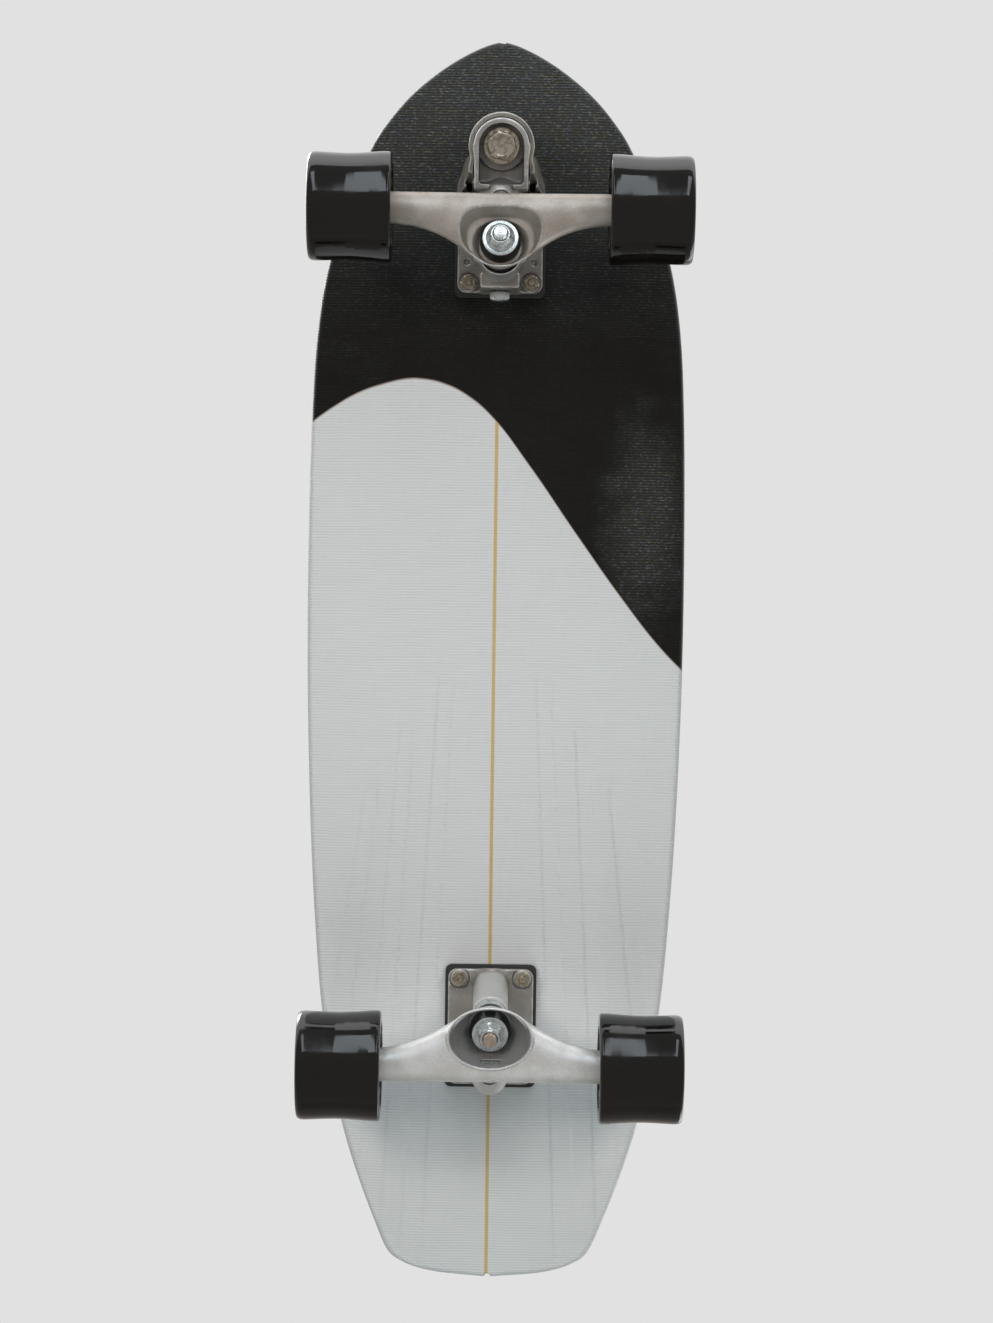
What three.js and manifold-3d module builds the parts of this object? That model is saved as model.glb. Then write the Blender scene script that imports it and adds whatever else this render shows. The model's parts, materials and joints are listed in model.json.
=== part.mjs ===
// Surf skateboard: maple deck, a sprung swing-arm truck in front, a kingpin truck behind, four wheels.
// Millimetres. +X to the nose, +Y to the rider's left, +Z up. The origin is on the floor, under the
// middle of the deck. Each truck is drawn in its own frame: +x away from the middle of the board,
// z = 0 on the deck's underside, and its axle line at x = 0.
import * as THREE from 'three';
import { mergeVertices } from 'three/addons/utils/BufferGeometryUtils.js';
import { ConvexGeometry } from 'three/addons/geometries/ConvexGeometry.js';
import Module from 'manifold-3d';

const wasm = await Module();
wasm.setup();

// Fits that all pieces share.
const seatGap = 0.3;
const runningGap = 0.7;
const overrun = 5;
const degree = Math.PI / 180;

// Deck.
const deckLength = 825.5;
const deckWidth = 250;
const deckThickness = 11;
const deckFlatWidth = 66;
const concaveRise = 8.5;
const edgeRounding = 2.4;
const noseKickStart = 330;
const noseKickBend = 50;
const noseKickSlopeShare = 0.208;
const tailKickStart = 292;
const tailKickBend = 50;
const tailKickSlopeShare = 0.303;
const gripThickness = 0.9;
const gripInset = 1.2;
const deckRows = 28;
const railShares = [1 / 3, 2 / 3, 1];
// Outline from the nose's point to the tail: shares of half the length and of half the width.
const outlineShares = [
  [1, 0], [0.9933, 0.08], [0.974, 0.21], [0.945, 0.35], [0.906, 0.494], [0.867, 0.6], [0.8286, 0.682],
  [0.727, 0.824], [0.613, 0.926], [0.516, 0.969], [0.388, 0.99], [0.162, 1], [0, 0.997], [-0.126, 0.987],
  [-0.286, 0.966], [-0.414, 0.94], [-0.545, 0.902], [-0.678, 0.836], [-0.77, 0.758], [-0.836, 0.69],
  [-0.904, 0.609], [-0.957, 0.535], [-0.976, 0.455], [-0.99, 0.316], [-1, 0],
];

// Wheels and what turns on the axle.
const wheelRadius = 35;
const wheelWidth = 53;
const wheelSides = 24;
const outerLipLoss = 0.6;
const treadHollow = 1.6;
const lipRounding = 3;
const lipWidth = 4;
const recessRadius = 21;
const recessDepth = 11;
const recessFlare = 6;
const coreOuterRadius = 16;
const coreSides = 16;
const coreLength = 28;
const bearingOuterRadius = 11;
const bearingWidth = 7;
const bearingSides = 12;
const spacerLength = 10;
const spacerRadius = 5.6;
const speedRingWidth = 1;
const axleRadius = 4;
const axleSides = 10;
const axleLength = 235;
const axleNutHeight = 6.4;
const axleNutAcrossFlats = 12.7;

// Truck places along the deck.
const frontAxleX = 287;
const rearAxleX = -257;
const axleDrop = 92;

// Deck bolts: old pattern of four, with the spare holes of the plates.
const boltRadius = 2.4;
const boltHeadRadius = 4.6;
const boltHeadRim = 1.2;
const boltHeadCone = 2.5;
const boltRowSpacing = 54;
const spareRowSpacing = 63.5;
const boltAcrossSpacing = 41.3;
const boltTipLength = 2.5;
const deckNutHeight = 5.5;
const deckNutAcrossFlats = 9.5;
const boltSides = 8;
const boltClearance = 0.35;
const nutCounterbore = 7.6;

// Riser pads.
const riserLength = 81;
const riserWidth = 60;
const riserThickness = 3.4;
const riserCorner = 4.5;

// Base plates.
const plateLength = 75.7;
const plateWidth = 56;
const plateThickness = 6;
const plateCorner = 5;
const plateMargin = 6.1;
const riserMargin = 2.6;
const frontPlateInner = -44.5;
const rearPlateInner = -54.5;

// Kingpin and its stack, measured along the kingpin from the deck's underside.
const rearKingpinLean = 16.2 * degree;
const rearKingpinFoot = -47.5;
const frontKingpinLean = 10.5 * degree;
const frontKingpinFoot = -36.5;
const kingpinRadius = 4.75;
const kingpinSides = 12;
const kingpinHeadAcrossFlats = 14.3;
const kingpinHeadHeight = 6;
const kingpinTip = 3;
const kingpinBossRadius = 13.5;
const kingpinSeat = 61;
const cupWasherRadius = 13.5;
const washerThickness = 1.5;
const bottomBushingRadius = 12.5;
const bottomBushingLength = 14.4;
const ringThickness = 6.6;
const ringRadius = 16;
const ringBore = 8;
const topBushingSeatRadius = 11;
const topBushingTipRadius = 8.6;
const topBushingLength = 10;
const topWasherRadius = 11.5;
const kingpinNutHeight = 8;
const kingpinNutAcrossFlats = 14.3;
const nutCollarShare = 0.72;
const bushingSides = 16;
const bushingRelief = 2;

// Hangers.
const hangerHalfLength = 81.5;
const hangerEndRadius = 9.75;
const hangerInnerReach = 39.7;
const hangerBellWidth = 33;
const hangerBellPower = 1.8;
const hangerSquareness = 0.3;
const hangerSectionSides = 14;
const hangerStationShares = [0, 0.12, 0.22, 0.32, 0.42, 0.53, 0.66, 0.8, 1];
const bowlSides = 20;
const bowlWall = 2;
const rearBowlLength = 39.8;
const rearBowlWidth = 53;
const rearBowlSquareness = 1;
const frontBowlLength = 40.4;
const frontBowlWidth = 50.4;
const frontBowlSquareness = 0.8;
const bowlFloorLength = 27;
const bowlFloorWidth = 36;

// Pivot ball, its neck and its cup.
const pivotBallRadius = 6.3;
const pivotNeckRadius = 4.8;
const pivotRootRadius = 9;
const pivotSides = 12;
const cupGap = 0.6;
const cupWall = 2.2;
const cupDepth = 9;
const pivotHousingWall = 2.2;
const rearPivotX = 13.5;
const rearPivotDrop = 34;
const frontPivotX = 12;
const frontPivotDrop = 60;
const neckRootX = 1;

// Rear base: boss, ridge.
const ridgeWidth = 21;
const bossSkirtRadius = 17;
const bossSkirtDrop = 24;

// Swing arm's axis, measured along it from the deck's underside.
const armLean = 10 * degree;
const armAxisFoot = 55.5;
const lobeRadius = 21.3;
const lobeSpacing = 17;
const lobeSides = 18;
const towerWall = 3;
const towerStart = 6;
const towerRim = 59;
const towerStepX = 26;
const towerStepDrop = 46;
const towerFloor = 16;
const postFloor = 31;
const locknutRecess = 25;
const nutRoomWall = 1.5;
const postRadius = 11.5;
const postTop = 48;
const sleeveWall = 1.8;
const armBoltRadius = 6;
const armBoltHeadAcrossFlats = 17;
const armBoltHeadHeight = 8;
const armBoltFlangeRadius = 12.2;
const armBoltFlangeHeight = 3;
const armSides = 16;
const thrustBearingHeight = 3.4;
const locknutHeight = 6.4;
const locknutAcrossFlats = 15;
const windowWidth = 29;
const windowHeight = 25;
const windowDrop = 13;
const skirtInner = 5;
const skirtTopDrop = 44;
const skirtTopInner = 22;
const skirtTopOuter = 44;
const skirtTopWidth = 40;
const skirtOuter = 47;
const skirtOuterWidth = 44;

// Swing arm.
const hubSpigotRadius = 16;
const hubFloor = 66;
const hubArchRadius = 20.4;
const armTop = 74.5;
const armWidth = 34.6;
const pocketWidth = 28;
const armBeamUnder = 44;
const armBeamTop = 56;
const armBeamInner = -28;
const armWallEnd = 19;
const armWallEndDrop = 68;
const fingerRadius = 3.5;
const fingerOffset = 20;
const fingerTipDrop = 19;

// Spring rod, from the end block to the arm's finger.
const blockWidth = 25.4;
const blockLength = 10;
const blockDrop = 41;
const rodDrop = 24;
const rodRadius = 3;
const rodHeadAcrossFlats = 12.6;
const rodHeadLength = 6;
const rodStandOff = 1;
const rodBoreClearance = 0.95;
const eyeWall = 3;
const eyeThickness = 7;
const eyeSlack = 0.5;
const eyeTravelInner = 0.8;
const eyeTravelOuter = 2.8;
const collarRadius = 8;
const collarWidth = 2;
const springWire = 2.6;
const springMeanRadius = 6.4;
const springCurls = 10;
const curlSteps = 8;
const wireSides = 5;

// Levels and places that follow from the sizes above.
const deckUnderside = wheelRadius + axleDrop;
const deckTop = deckUnderside + deckThickness;
const gripTop = deckTop + seatGap + gripThickness;
const riserBottomDrop = seatGap + riserThickness;
const plateTopDrop = riserBottomDrop + seatGap;
const plateFaceDrop = plateTopDrop + plateThickness;
const washerStart = kingpinSeat + seatGap;
const bottomBushingStart = washerStart + washerThickness + seatGap;
const ringStart = bottomBushingStart + bottomBushingLength + seatGap;
const ringEnd = ringStart + ringThickness;
const topBushingStart = ringEnd + seatGap;
const topWasherStart = topBushingStart + topBushingLength + seatGap;
const kingpinNutStart = topWasherStart + washerThickness + seatGap;
const kingpinEnd = kingpinNutStart + kingpinNutHeight + kingpinTip;
const ringCentre = (ringStart + ringEnd) / 2;
const socketRadius = pivotBallRadius + cupGap + cupWall + seatGap;
const armHubUnder = postTop + thrustBearingHeight + 2 * seatGap;
const towerReach = (lobeSpacing + lobeRadius) * Math.cos(armLean) + towerRim * Math.sin(armLean);
const towerStepRim = towerStepDrop * Math.cos(armLean) + towerReach * Math.sin(armLean);

// Turns a closed geometry into a solid: shared corners, no slivers, faces pointing out.
function solid(geometry) {
  const bare = geometry.clone();
  bare.deleteAttribute('normal');
  bare.deleteAttribute('uv');
  const merged = mergeVertices(bare);
  const places = merged.attributes.position;
  const corner = (index) => new THREE.Vector3().fromBufferAttribute(places, index);
  const triangles = [];
  let volume = 0;
  for (let i = 0; i < merged.index.count; i += 3) {
    const [a, b, c] = [0, 1, 2].map((k) => merged.index.getX(i + k));
    if (a === b || b === c || c === a) continue;
    triangles.push([a, b, c]);
    volume += corner(a).dot(corner(b).cross(corner(c)));
  }
  const ordered = volume < 0 ? triangles.map(([a, b, c]) => [a, c, b]) : triangles;
  return new wasm.Manifold(new wasm.Mesh({
    numProp: 3,
    vertProperties: new Float32Array(places.array),
    triVerts: new Uint32Array(ordered.flat()),
  }));
}

// Turns a solid back into a flat-shaded geometry.
function geometryOf(body) {
  const mesh = body.getMesh();
  const geometry = new THREE.BufferGeometry();
  geometry.setAttribute('position', new THREE.BufferAttribute(new Float32Array(mesh.vertProperties), 3));
  geometry.setIndex([...mesh.triVerts]);
  const flat = geometry.toNonIndexed();
  flat.computeVertexNormals();
  return flat;
}

// Adds a named piece with a material of its own to a group.
function addPiece(group, name, body, finish) {
  const mesh = new THREE.Mesh(geometryOf(body), new THREE.MeshStandardMaterial(finish));
  mesh.name = name;
  group.add(mesh);
}

function join(...bodies) {
  return bodies.reduce((whole, body) => whole.add(body));
}

function cut(body, ...tools) {
  return tools.reduce((rest, tool) => rest.subtract(tool), body);
}

// A body of revolution about +Z: the profile is [radius, height] and starts and ends on the axis,
// or closes on itself. The first corner is half a side off the x axis, so flats face the axes.
function turned(profile, sides, frame) {
  const points = profile.map(([radius, height]) => new THREE.Vector2(radius, height));
  const geometry = new THREE.LatheGeometry(points, sides, Math.PI / sides);
  geometry.rotateX(Math.PI / 2);
  if (frame) geometry.applyMatrix4(frame);
  return solid(geometry);
}

// A plain round rod from one height to another.
function rod(radius, from, to, sides, frame) {
  return turned([[0, from], [radius, from], [radius, to], [0, to]], sides, frame);
}

// A round tube from one height to another.
function tube(inner, outer, from, to, sides, frame) {
  const profile = [[inner, from], [outer, from], [outer, to], [inner, to], [inner, from]];
  return turned(profile, sides, frame);
}

// A hexagon prism by its size across flats.
function hexagon(acrossFlats, from, to, frame) {
  return rod(hexCorner(acrossFlats), from, to, 6, frame);
}

// A flat shape made thick along +Z, from one height to another.
function plate(shape, from, to, frame, curveSegments = 4) {
  const options = { depth: to - from, bevelEnabled: false, curveSegments };
  const geometry = new THREE.ExtrudeGeometry(shape, options);
  geometry.translate(0, 0, from);
  if (frame) geometry.applyMatrix4(frame);
  return solid(geometry);
}

// A box by its lowest and highest corners.
function block(low, high, frame) {
  const size = high.map((value, i) => value - low[i]);
  const geometry = new THREE.BoxGeometry(...size);
  geometry.translate(...high.map((value, i) => (value + low[i]) / 2));
  if (frame) geometry.applyMatrix4(frame);
  return solid(geometry);
}

// A rectangle with rounded corners, from x0 to x1 and centred on the x axis.
function roundedRectangle(x0, x1, width, corner) {
  const half = width / 2;
  const shape = new THREE.Shape();
  shape.moveTo(x0 + corner, -half);
  shape.lineTo(x1 - corner, -half);
  shape.absarc(x1 - corner, corner - half, corner, -Math.PI / 2, 0);
  shape.absarc(x1 - corner, half - corner, corner, 0, Math.PI / 2);
  shape.absarc(x0 + corner, half - corner, corner, Math.PI / 2, Math.PI);
  shape.absarc(x0 + corner, corner - half, corner, Math.PI, Math.PI * 1.5);
  return shape;
}

// A skin through rings of points, closed at both ends.
function loft(rings) {
  const count = rings[0].length;
  const places = [];
  const push = (...corners) => corners.forEach((p) => places.push(p.x, p.y, p.z));
  const middle = (ring) => ring.reduce((sum, p) => sum.add(p), new THREE.Vector3()).divideScalar(count);
  rings.slice(1).forEach((ring, r) => {
    const before = rings[r];
    for (let i = 0; i < count; i += 1) {
      const j = (i + 1) % count;
      push(before[i], before[j], ring[j], before[i], ring[j], ring[i]);
    }
  });
  const first = rings[0];
  const last = rings[rings.length - 1];
  for (let i = 0; i < count; i += 1) {
    const j = (i + 1) % count;
    push(middle(first), first[j], first[i], middle(last), last[i], last[j]);
  }
  const geometry = new THREE.BufferGeometry();
  geometry.setAttribute('position', new THREE.Float32BufferAttribute(places, 3));
  return solid(geometry);
}

// The tightest convex body round some points.
function hull(points) {
  return solid(new ConvexGeometry(points.map((p) => new THREE.Vector3(...p))));
}

// A power that keeps the sign, for sections between an ellipse and a box.
function signedPower(value, power) {
  return Math.sign(value) * Math.abs(value) ** power;
}

// Frames in a truck. Their +Z points away from the deck.
const turnY = (angle) => new THREE.Matrix4().makeRotationY(angle);
const at = (x, y, z) => new THREE.Matrix4().makeTranslation(x, y, z);
const downFrame = (x, y) => at(x, y, 0).multiply(new THREE.Matrix4().makeRotationX(Math.PI));
const kingpinFrame = (truck) => at(truck.kingpinFoot, 0, 0).multiply(turnY(Math.PI - truck.kingpinLean));
const armFrame = at(armAxisFoot, 0, 0).multiply(turnY(Math.PI + armLean));
const acrossFrame = (x, z) => at(x, 0, z).multiply(new THREE.Matrix4().makeRotationX(-Math.PI / 2));
const alongFrame = (x, z) => at(x, 0, z).multiply(turnY(Math.PI / 2));
const axleFrame = acrossFrame(0, -axleDrop);

// Finishes.
const finishes = {
  deck: { color: 0xb9bcbc, roughness: 0.45, metalness: 0 },
  grip: { color: 0x1b1b1c, roughness: 0.95, metalness: 0 },
  riser: { color: 0x1d1c1b, roughness: 0.6, metalness: 0 },
  castBase: { color: 0x8b8880, roughness: 0.45, metalness: 0.9 },
  castHanger: { color: 0xb4b6b5, roughness: 0.4, metalness: 0.9 },
  zinc: { color: 0xb9c0c6, roughness: 0.25, metalness: 1 },
  brightZinc: { color: 0xc8bf9f, roughness: 0.3, metalness: 1 },
  steel: { color: 0x9a9a9a, roughness: 0.3, metalness: 1 },
  bushing: { color: 0x161616, roughness: 0.5, metalness: 0 },
  urethane: { color: 0x1c1a18, roughness: 0.2, metalness: 0 },
  core: { color: 0x2a2a2b, roughness: 0.5, metalness: 0 },
  plastic: { color: 0x202020, roughness: 0.6, metalness: 0 },
};

// How far a kick has lifted the deck at a distance past its start.
function kickLift(distance, bend, slope) {
  if (distance <= 0) return 0;
  if (distance < bend) return slope * distance * distance / (2 * bend);
  return slope * (distance - bend / 2);
}

// Height of the deck's underside above its flat middle.
function deckLift(x, y) {
  const halfFlat = deckFlatWidth / 2;
  const rail = Math.max(0, Math.abs(y) - halfFlat) / (deckWidth / 2 - halfFlat);
  const nose = kickLift(x - noseKickStart, noseKickBend, noseKickSlopeShare);
  const tail = kickLift(-x - tailKickStart, tailKickBend, tailKickSlopeShare);
  return concaveRise * rail * rail + nose + tail;
}

// One row of the deck's outline: its place along the board and its half width, drawn in by an inset.
function outlineRow(row, inset) {
  const points = outlineShares.map(([x, y]) => new THREE.Vector3(x, y, 0));
  const share = new THREE.CatmullRomCurve3(points, false, 'centripetal').getPoint(row / deckRows);
  return [share.x * (deckLength / 2 - inset), Math.max(0, share.y) * (deckWidth / 2 - inset)];
}

// A curved sheet with the deck's outline. Its faces lie at two heights over the deck's underside.
function deckSheet(bottom, top, inset, rounding) {
  const rightRail = railShares.toReversed().map((share) => [-1, share]);
  const leftRail = railShares.map((share) => [1, share]);
  const columns = [...rightRail, [-1, 0], [1, 0], ...leftRail];
  const rowPoints = (row, height) => {
    const [x, half] = outlineRow(row, inset + rounding);
    const flat = Math.min(deckFlatWidth / 2, half / 2);
    return columns.map(([side, share]) => {
      const y = side * (flat + (half - flat) * share);
      return new THREE.Vector3(x, y, deckUnderside + height + deckLift(x, y));
    });
  };
  const rimPoint = (row, side) => {
    const [x, half] = outlineRow(row, inset);
    const y = side * half;
    return new THREE.Vector3(x, y, deckUnderside + (bottom + top) / 2 + deckLift(x, y));
  };
  const places = [];
  const push = (...corners) => corners.forEach((p) => places.push(p.x, p.y, p.z));
  const quad = (a, b, c, d) => push(a, b, c, a, c, d);
  const last = columns.length - 1;
  for (let row = 0; row < deckRows; row += 1) {
    const [low, lowNext] = [rowPoints(row, bottom), rowPoints(row + 1, bottom)];
    const [high, highNext] = [rowPoints(row, top), rowPoints(row + 1, top)];
    for (let i = 0; i < last; i += 1) {
      quad(low[i], low[i + 1], lowNext[i + 1], lowNext[i]);
      quad(high[i], highNext[i], highNext[i + 1], high[i + 1]);
    }
    const [right, rightNext] = [rimPoint(row, -1), rimPoint(row + 1, -1)];
    const [left, leftNext] = [rimPoint(row, 1), rimPoint(row + 1, 1)];
    quad(low[0], lowNext[0], rightNext, right);
    quad(right, rightNext, highNext[0], high[0]);
    quad(low[last], left, leftNext, lowNext[last]);
    quad(left, high[last], highNext[last], leftNext);
  }
  const geometry = new THREE.BufferGeometry();
  geometry.setAttribute('position', new THREE.Float32BufferAttribute(places, 3));
  return solid(geometry);
}

// Where the four bolts of a truck stand, in the truck's frame.
function boltPlaces(plateInner, rowSpacing = boltRowSpacing) {
  const inner = plateInner + plateMargin;
  return [[inner, -1], [inner, 1], [inner + rowSpacing, -1], [inner + rowSpacing, 1]]
    .map(([x, side]) => [x, side * boltAcrossSpacing / 2]);
}

// How far along a leaning kingpin its head starts, to lie wholly past a level.
const hexCorner = (acrossFlats) => acrossFlats / 2 / Math.cos(Math.PI / 6);
const headStart = (drop, lean) => (
  (drop + hexCorner(kingpinHeadAcrossFlats) * Math.sin(lean)) / Math.cos(lean) + seatGap
);

const front = {
  name: 'front',
  axleX: frontAxleX,
  facing: 1,
  plateInner: frontPlateInner,
  kingpinLean: frontKingpinLean,
  kingpinFoot: frontKingpinFoot,
  kingpinHeadStart: headStart(armBeamUnder, frontKingpinLean),
  pivotX: frontPivotX,
  pivotDrop: frontPivotDrop,
  bowlLength: frontBowlLength,
  bowlWidth: frontBowlWidth,
  bowlSquareness: frontBowlSquareness,
};
const rear = {
  name: 'rear',
  axleX: rearAxleX,
  facing: -1,
  plateInner: rearPlateInner,
  kingpinLean: rearKingpinLean,
  kingpinFoot: rearKingpinFoot,
  kingpinHeadStart: headStart(plateTopDrop, rearKingpinLean),
  pivotX: rearPivotX,
  pivotDrop: rearPivotDrop,
  bowlLength: rearBowlLength,
  bowlWidth: rearBowlWidth,
  bowlSquareness: rearBowlSquareness,
};

const board = new THREE.Group();

// Deck, grip tape and the holes that the bolts pass.
const boltHoles = [front, rear].flatMap(({ axleX, facing, plateInner }) => (
  boltPlaces(plateInner).map(([x, y]) => at(axleX + facing * x, facing * y, 0))
));
const holeRadius = boltRadius + boltClearance;
const headHoleRadius = boltHeadRadius + boltClearance;
const coneTop = gripTop - boltHeadRim;
const deckHole = [
  [0, deckUnderside - overrun], [holeRadius, deckUnderside - overrun],
  [holeRadius, coneTop - boltHeadCone - boltClearance], [headHoleRadius, coneTop - boltClearance],
  [headHoleRadius, gripTop + overrun], [0, gripTop + overrun],
];
const cutHoles = (body) => cut(body, ...boltHoles.map((frame) => turned(deckHole, boltSides, frame)));
const gripBottom = deckThickness + seatGap;
addPiece(board, 'deck', cutHoles(deckSheet(0, deckThickness, 0, edgeRounding)), finishes.deck);
addPiece(board, 'grip_tape', cutHoles(deckSheet(gripBottom, gripBottom + gripThickness,
  edgeRounding + gripInset, 0)), finishes.grip);

// Riser pad between the deck and a base plate.
function riserPad(plateInner) {
  const inner = plateInner - riserMargin;
  const shape = roundedRectangle(inner, inner + riserLength, riserWidth, riserCorner);
  const pad = plate(shape, -riserBottomDrop, -seatGap);
  const holes = boltPlaces(plateInner).map(([x, y]) => (
    rod(holeRadius, -overrun, plateFaceDrop, boltSides, downFrame(x, y))
  ));
  return cut(pad, ...holes);
}

// Bolt with a countersunk head in the grip, through the deck, riser and plate, and its nut.
function deckBolt(x, y) {
  const headTop = gripTop - deckUnderside;
  const coneEnd = headTop - boltHeadRim - boltHeadCone;
  const nutStart = -plateFaceDrop - seatGap;
  const tip = nutStart - deckNutHeight - boltTipLength;
  const shank = turned([
    [0, tip], [boltRadius, tip], [boltRadius, coneEnd],
    [boltHeadRadius, headTop - boltHeadRim], [boltHeadRadius, headTop], [0, headTop],
  ], boltSides, at(x, y, 0));
  return join(shank, hexagon(deckNutAcrossFlats, nutStart - deckNutHeight, nutStart, at(x, y, 0)));
}

// A base's flat plate, and the holes and nut seats that its bolts need.
function basePlate(plateInner) {
  const shape = roundedRectangle(plateInner, plateInner + plateLength, plateWidth, plateCorner);
  return plate(shape, -plateFaceDrop, -plateTopDrop);
}

function plateHoles(plateInner) {
  const used = boltPlaces(plateInner);
  const spare = boltPlaces(plateInner, spareRowSpacing).slice(2);
  const through = [...used, ...spare].map(([x, y]) => (
    rod(holeRadius, -overrun, plateFaceDrop + overrun, boltSides, downFrame(x, y))
  ));
  const seats = used.map(([x, y]) => (
    rod(nutCounterbore, plateFaceDrop, towerRim, boltSides, downFrame(x, y))
  ));
  return [...through, ...seats];
}

// The cup's socket round the pivot ball, open away from the deck.
function pivotSocket(x, drop) {
  return rod(socketRadius, drop - cupDepth, drop + overrun, pivotSides, downFrame(x, 0));
}

// The round housing of that socket, from a level to the cup's rim.
function cupHousing(x, from, drop) {
  return rod(socketRadius + pivotHousingWall, from, drop - seatGap, pivotSides, downFrame(x, 0));
}

// Soft cup that the pivot ball turns in: a hollow half ball.
function pivotCup(x, drop) {
  const inner = pivotBallRadius + cupGap;
  const outer = inner + cupWall;
  const floor = drop - cupDepth + seatGap;
  const dome = [1, 2 / 3, 1 / 3, 0].map((share) => {
    const angle = share * Math.PI / 2;
    return [inner * Math.cos(angle), drop - inner * Math.sin(angle)];
  });
  dome[0][0] = 0;
  const profile = [[0, floor], [outer, floor], [outer, drop], ...dome.toReversed()];
  return turned(profile, pivotSides, downFrame(x, 0));
}

// Section of the hanger at a place along the axle: a tube at the ends, a deep bell in the middle.
function hangerRing(y, truck) {
  const bell = Math.exp(-((Math.abs(y) / hangerBellWidth) ** hangerBellPower));
  const inner = hangerEndRadius + (hangerInnerReach - hangerEndRadius) * bell;
  const ringDrop = ringStart * Math.cos(truck.kingpinLean);
  const rise = hangerEndRadius + Math.max(0, axleDrop - hangerEndRadius - ringDrop) * bell;
  const power = 1 - hangerSquareness * bell;
  const ring = [];
  for (let i = 0; i < hangerSectionSides; i += 1) {
    const angle = (i + 0.5) * 2 * Math.PI / hangerSectionSides;
    const x = signedPower(Math.cos(angle), power);
    const z = signedPower(Math.sin(angle), power);
    const middleX = (hangerEndRadius - inner) / 2;
    const middleZ = (rise - hangerEndRadius) / 2;
    ring.push(new THREE.Vector3(
      middleX + x * (hangerEndRadius + inner) / 2,
      y,
      middleZ - axleDrop + z * (hangerEndRadius + rise) / 2,
    ));
  }
  return ring;
}

// One ring of the bowl that opens round the kingpin nut.
function bowlRing(x, drop, length, width, squareness) {
  const ring = [];
  for (let i = 0; i < bowlSides; i += 1) {
    const angle = i * 2 * Math.PI / bowlSides;
    ring.push(new THREE.Vector3(
      x + signedPower(Math.cos(angle), squareness) * length / 2,
      signedPower(Math.sin(angle), squareness) * width / 2,
      -drop,
    ));
  }
  return ring;
}

// Neck from the axle beam to the pivot ball, in one turned body along its own line.
function pivotNeck({ pivotX, pivotDrop }) {
  const run = pivotX - neckRootX;
  const rise = axleDrop - pivotDrop;
  const length = Math.hypot(rise, run);
  const frame = at(neckRootX, 0, -axleDrop).multiply(turnY(Math.atan2(run, rise)));
  const ball = [-45, -10, 25, 60, 90].map((angle) => [
    pivotBallRadius * Math.cos(angle * degree),
    length + pivotBallRadius * Math.sin(angle * degree),
  ]);
  ball[ball.length - 1][0] = 0;
  const neckEnd = length - pivotBallRadius;
  return turned([[0, 0], [pivotRootRadius, 0], [pivotNeckRadius, neckEnd], ...ball], pivotSides, frame);
}

// The bowl that opens round the kingpin nut, as the body that is taken away.
function bowlRoom(truck) {
  const { bowlLength, bowlWidth, bowlSquareness } = truck;
  const rimDrop = axleDrop + hangerEndRadius;
  const floorDrop = ringStart * Math.cos(truck.kingpinLean);
  const rimX = bowlLength / 2 - hangerInnerReach + bowlWall;
  const floorX = truck.kingpinFoot + ringCentre * Math.sin(truck.kingpinLean);
  const grow = (rimDrop + overrun - floorDrop) / (rimDrop - floorDrop);
  return loft([
    bowlRing(floorX, floorDrop, bowlFloorLength, bowlFloorWidth, bowlSquareness),
    bowlRing(
      floorX + (rimX - floorX) * grow,
      rimDrop + overrun,
      bowlFloorLength + (bowlLength - bowlFloorLength) * grow,
      bowlFloorWidth + (bowlWidth - bowlFloorWidth) * grow,
      bowlSquareness,
    ),
  ]);
}

// Cast hanger: axle beam, bowl with the kingpin ring, and the neck with its pivot ball.
function hanger(truck) {
  const frame = kingpinFrame(truck);
  const stations = [...hangerStationShares.slice(1).toReversed().map((s) => -s), ...hangerStationShares];
  const beam = loft(stations.map((share) => hangerRing(share * hangerHalfLength, truck)));
  const ring = rod(ringRadius, ringStart, ringEnd, bushingSides, frame);
  const bushingRoom = rod(bottomBushingRadius + bushingRelief, kingpinSeat, ringStart, bushingSides, frame);
  const bore = rod(ringBore, ringStart - overrun, ringEnd + overrun, kingpinSides, frame);
  const reach = hangerHalfLength + overrun;
  const axleBore = rod(axleRadius + seatGap, -reach, reach, axleSides, axleFrame);
  return cut(join(cut(join(beam, pivotNeck(truck)), bowlRoom(truck)), ring), bushingRoom, bore, axleBore);
}

// Kingpin with a hexagon head at the deck's side.
function kingpin(truck) {
  const start = truck.kingpinHeadStart;
  const frame = kingpinFrame(truck);
  const shank = rod(kingpinRadius, start, kingpinEnd, kingpinSides, frame);
  return join(shank, hexagon(kingpinHeadAcrossFlats, start, start + kingpinHeadHeight, frame));
}

// The bore for a kingpin and the room for its head, open to the deck.
function kingpinBore(truck) {
  const headEnd = truck.kingpinHeadStart + kingpinHeadHeight + seatGap;
  const frame = kingpinFrame(truck);
  return join(
    rod(kingpinRadius + seatGap, truck.kingpinHeadStart, kingpinEnd, kingpinSides, frame),
    hexagon(kingpinHeadAcrossFlats + 2 * seatGap, -overrun, headEnd, frame),
  );
}

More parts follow.
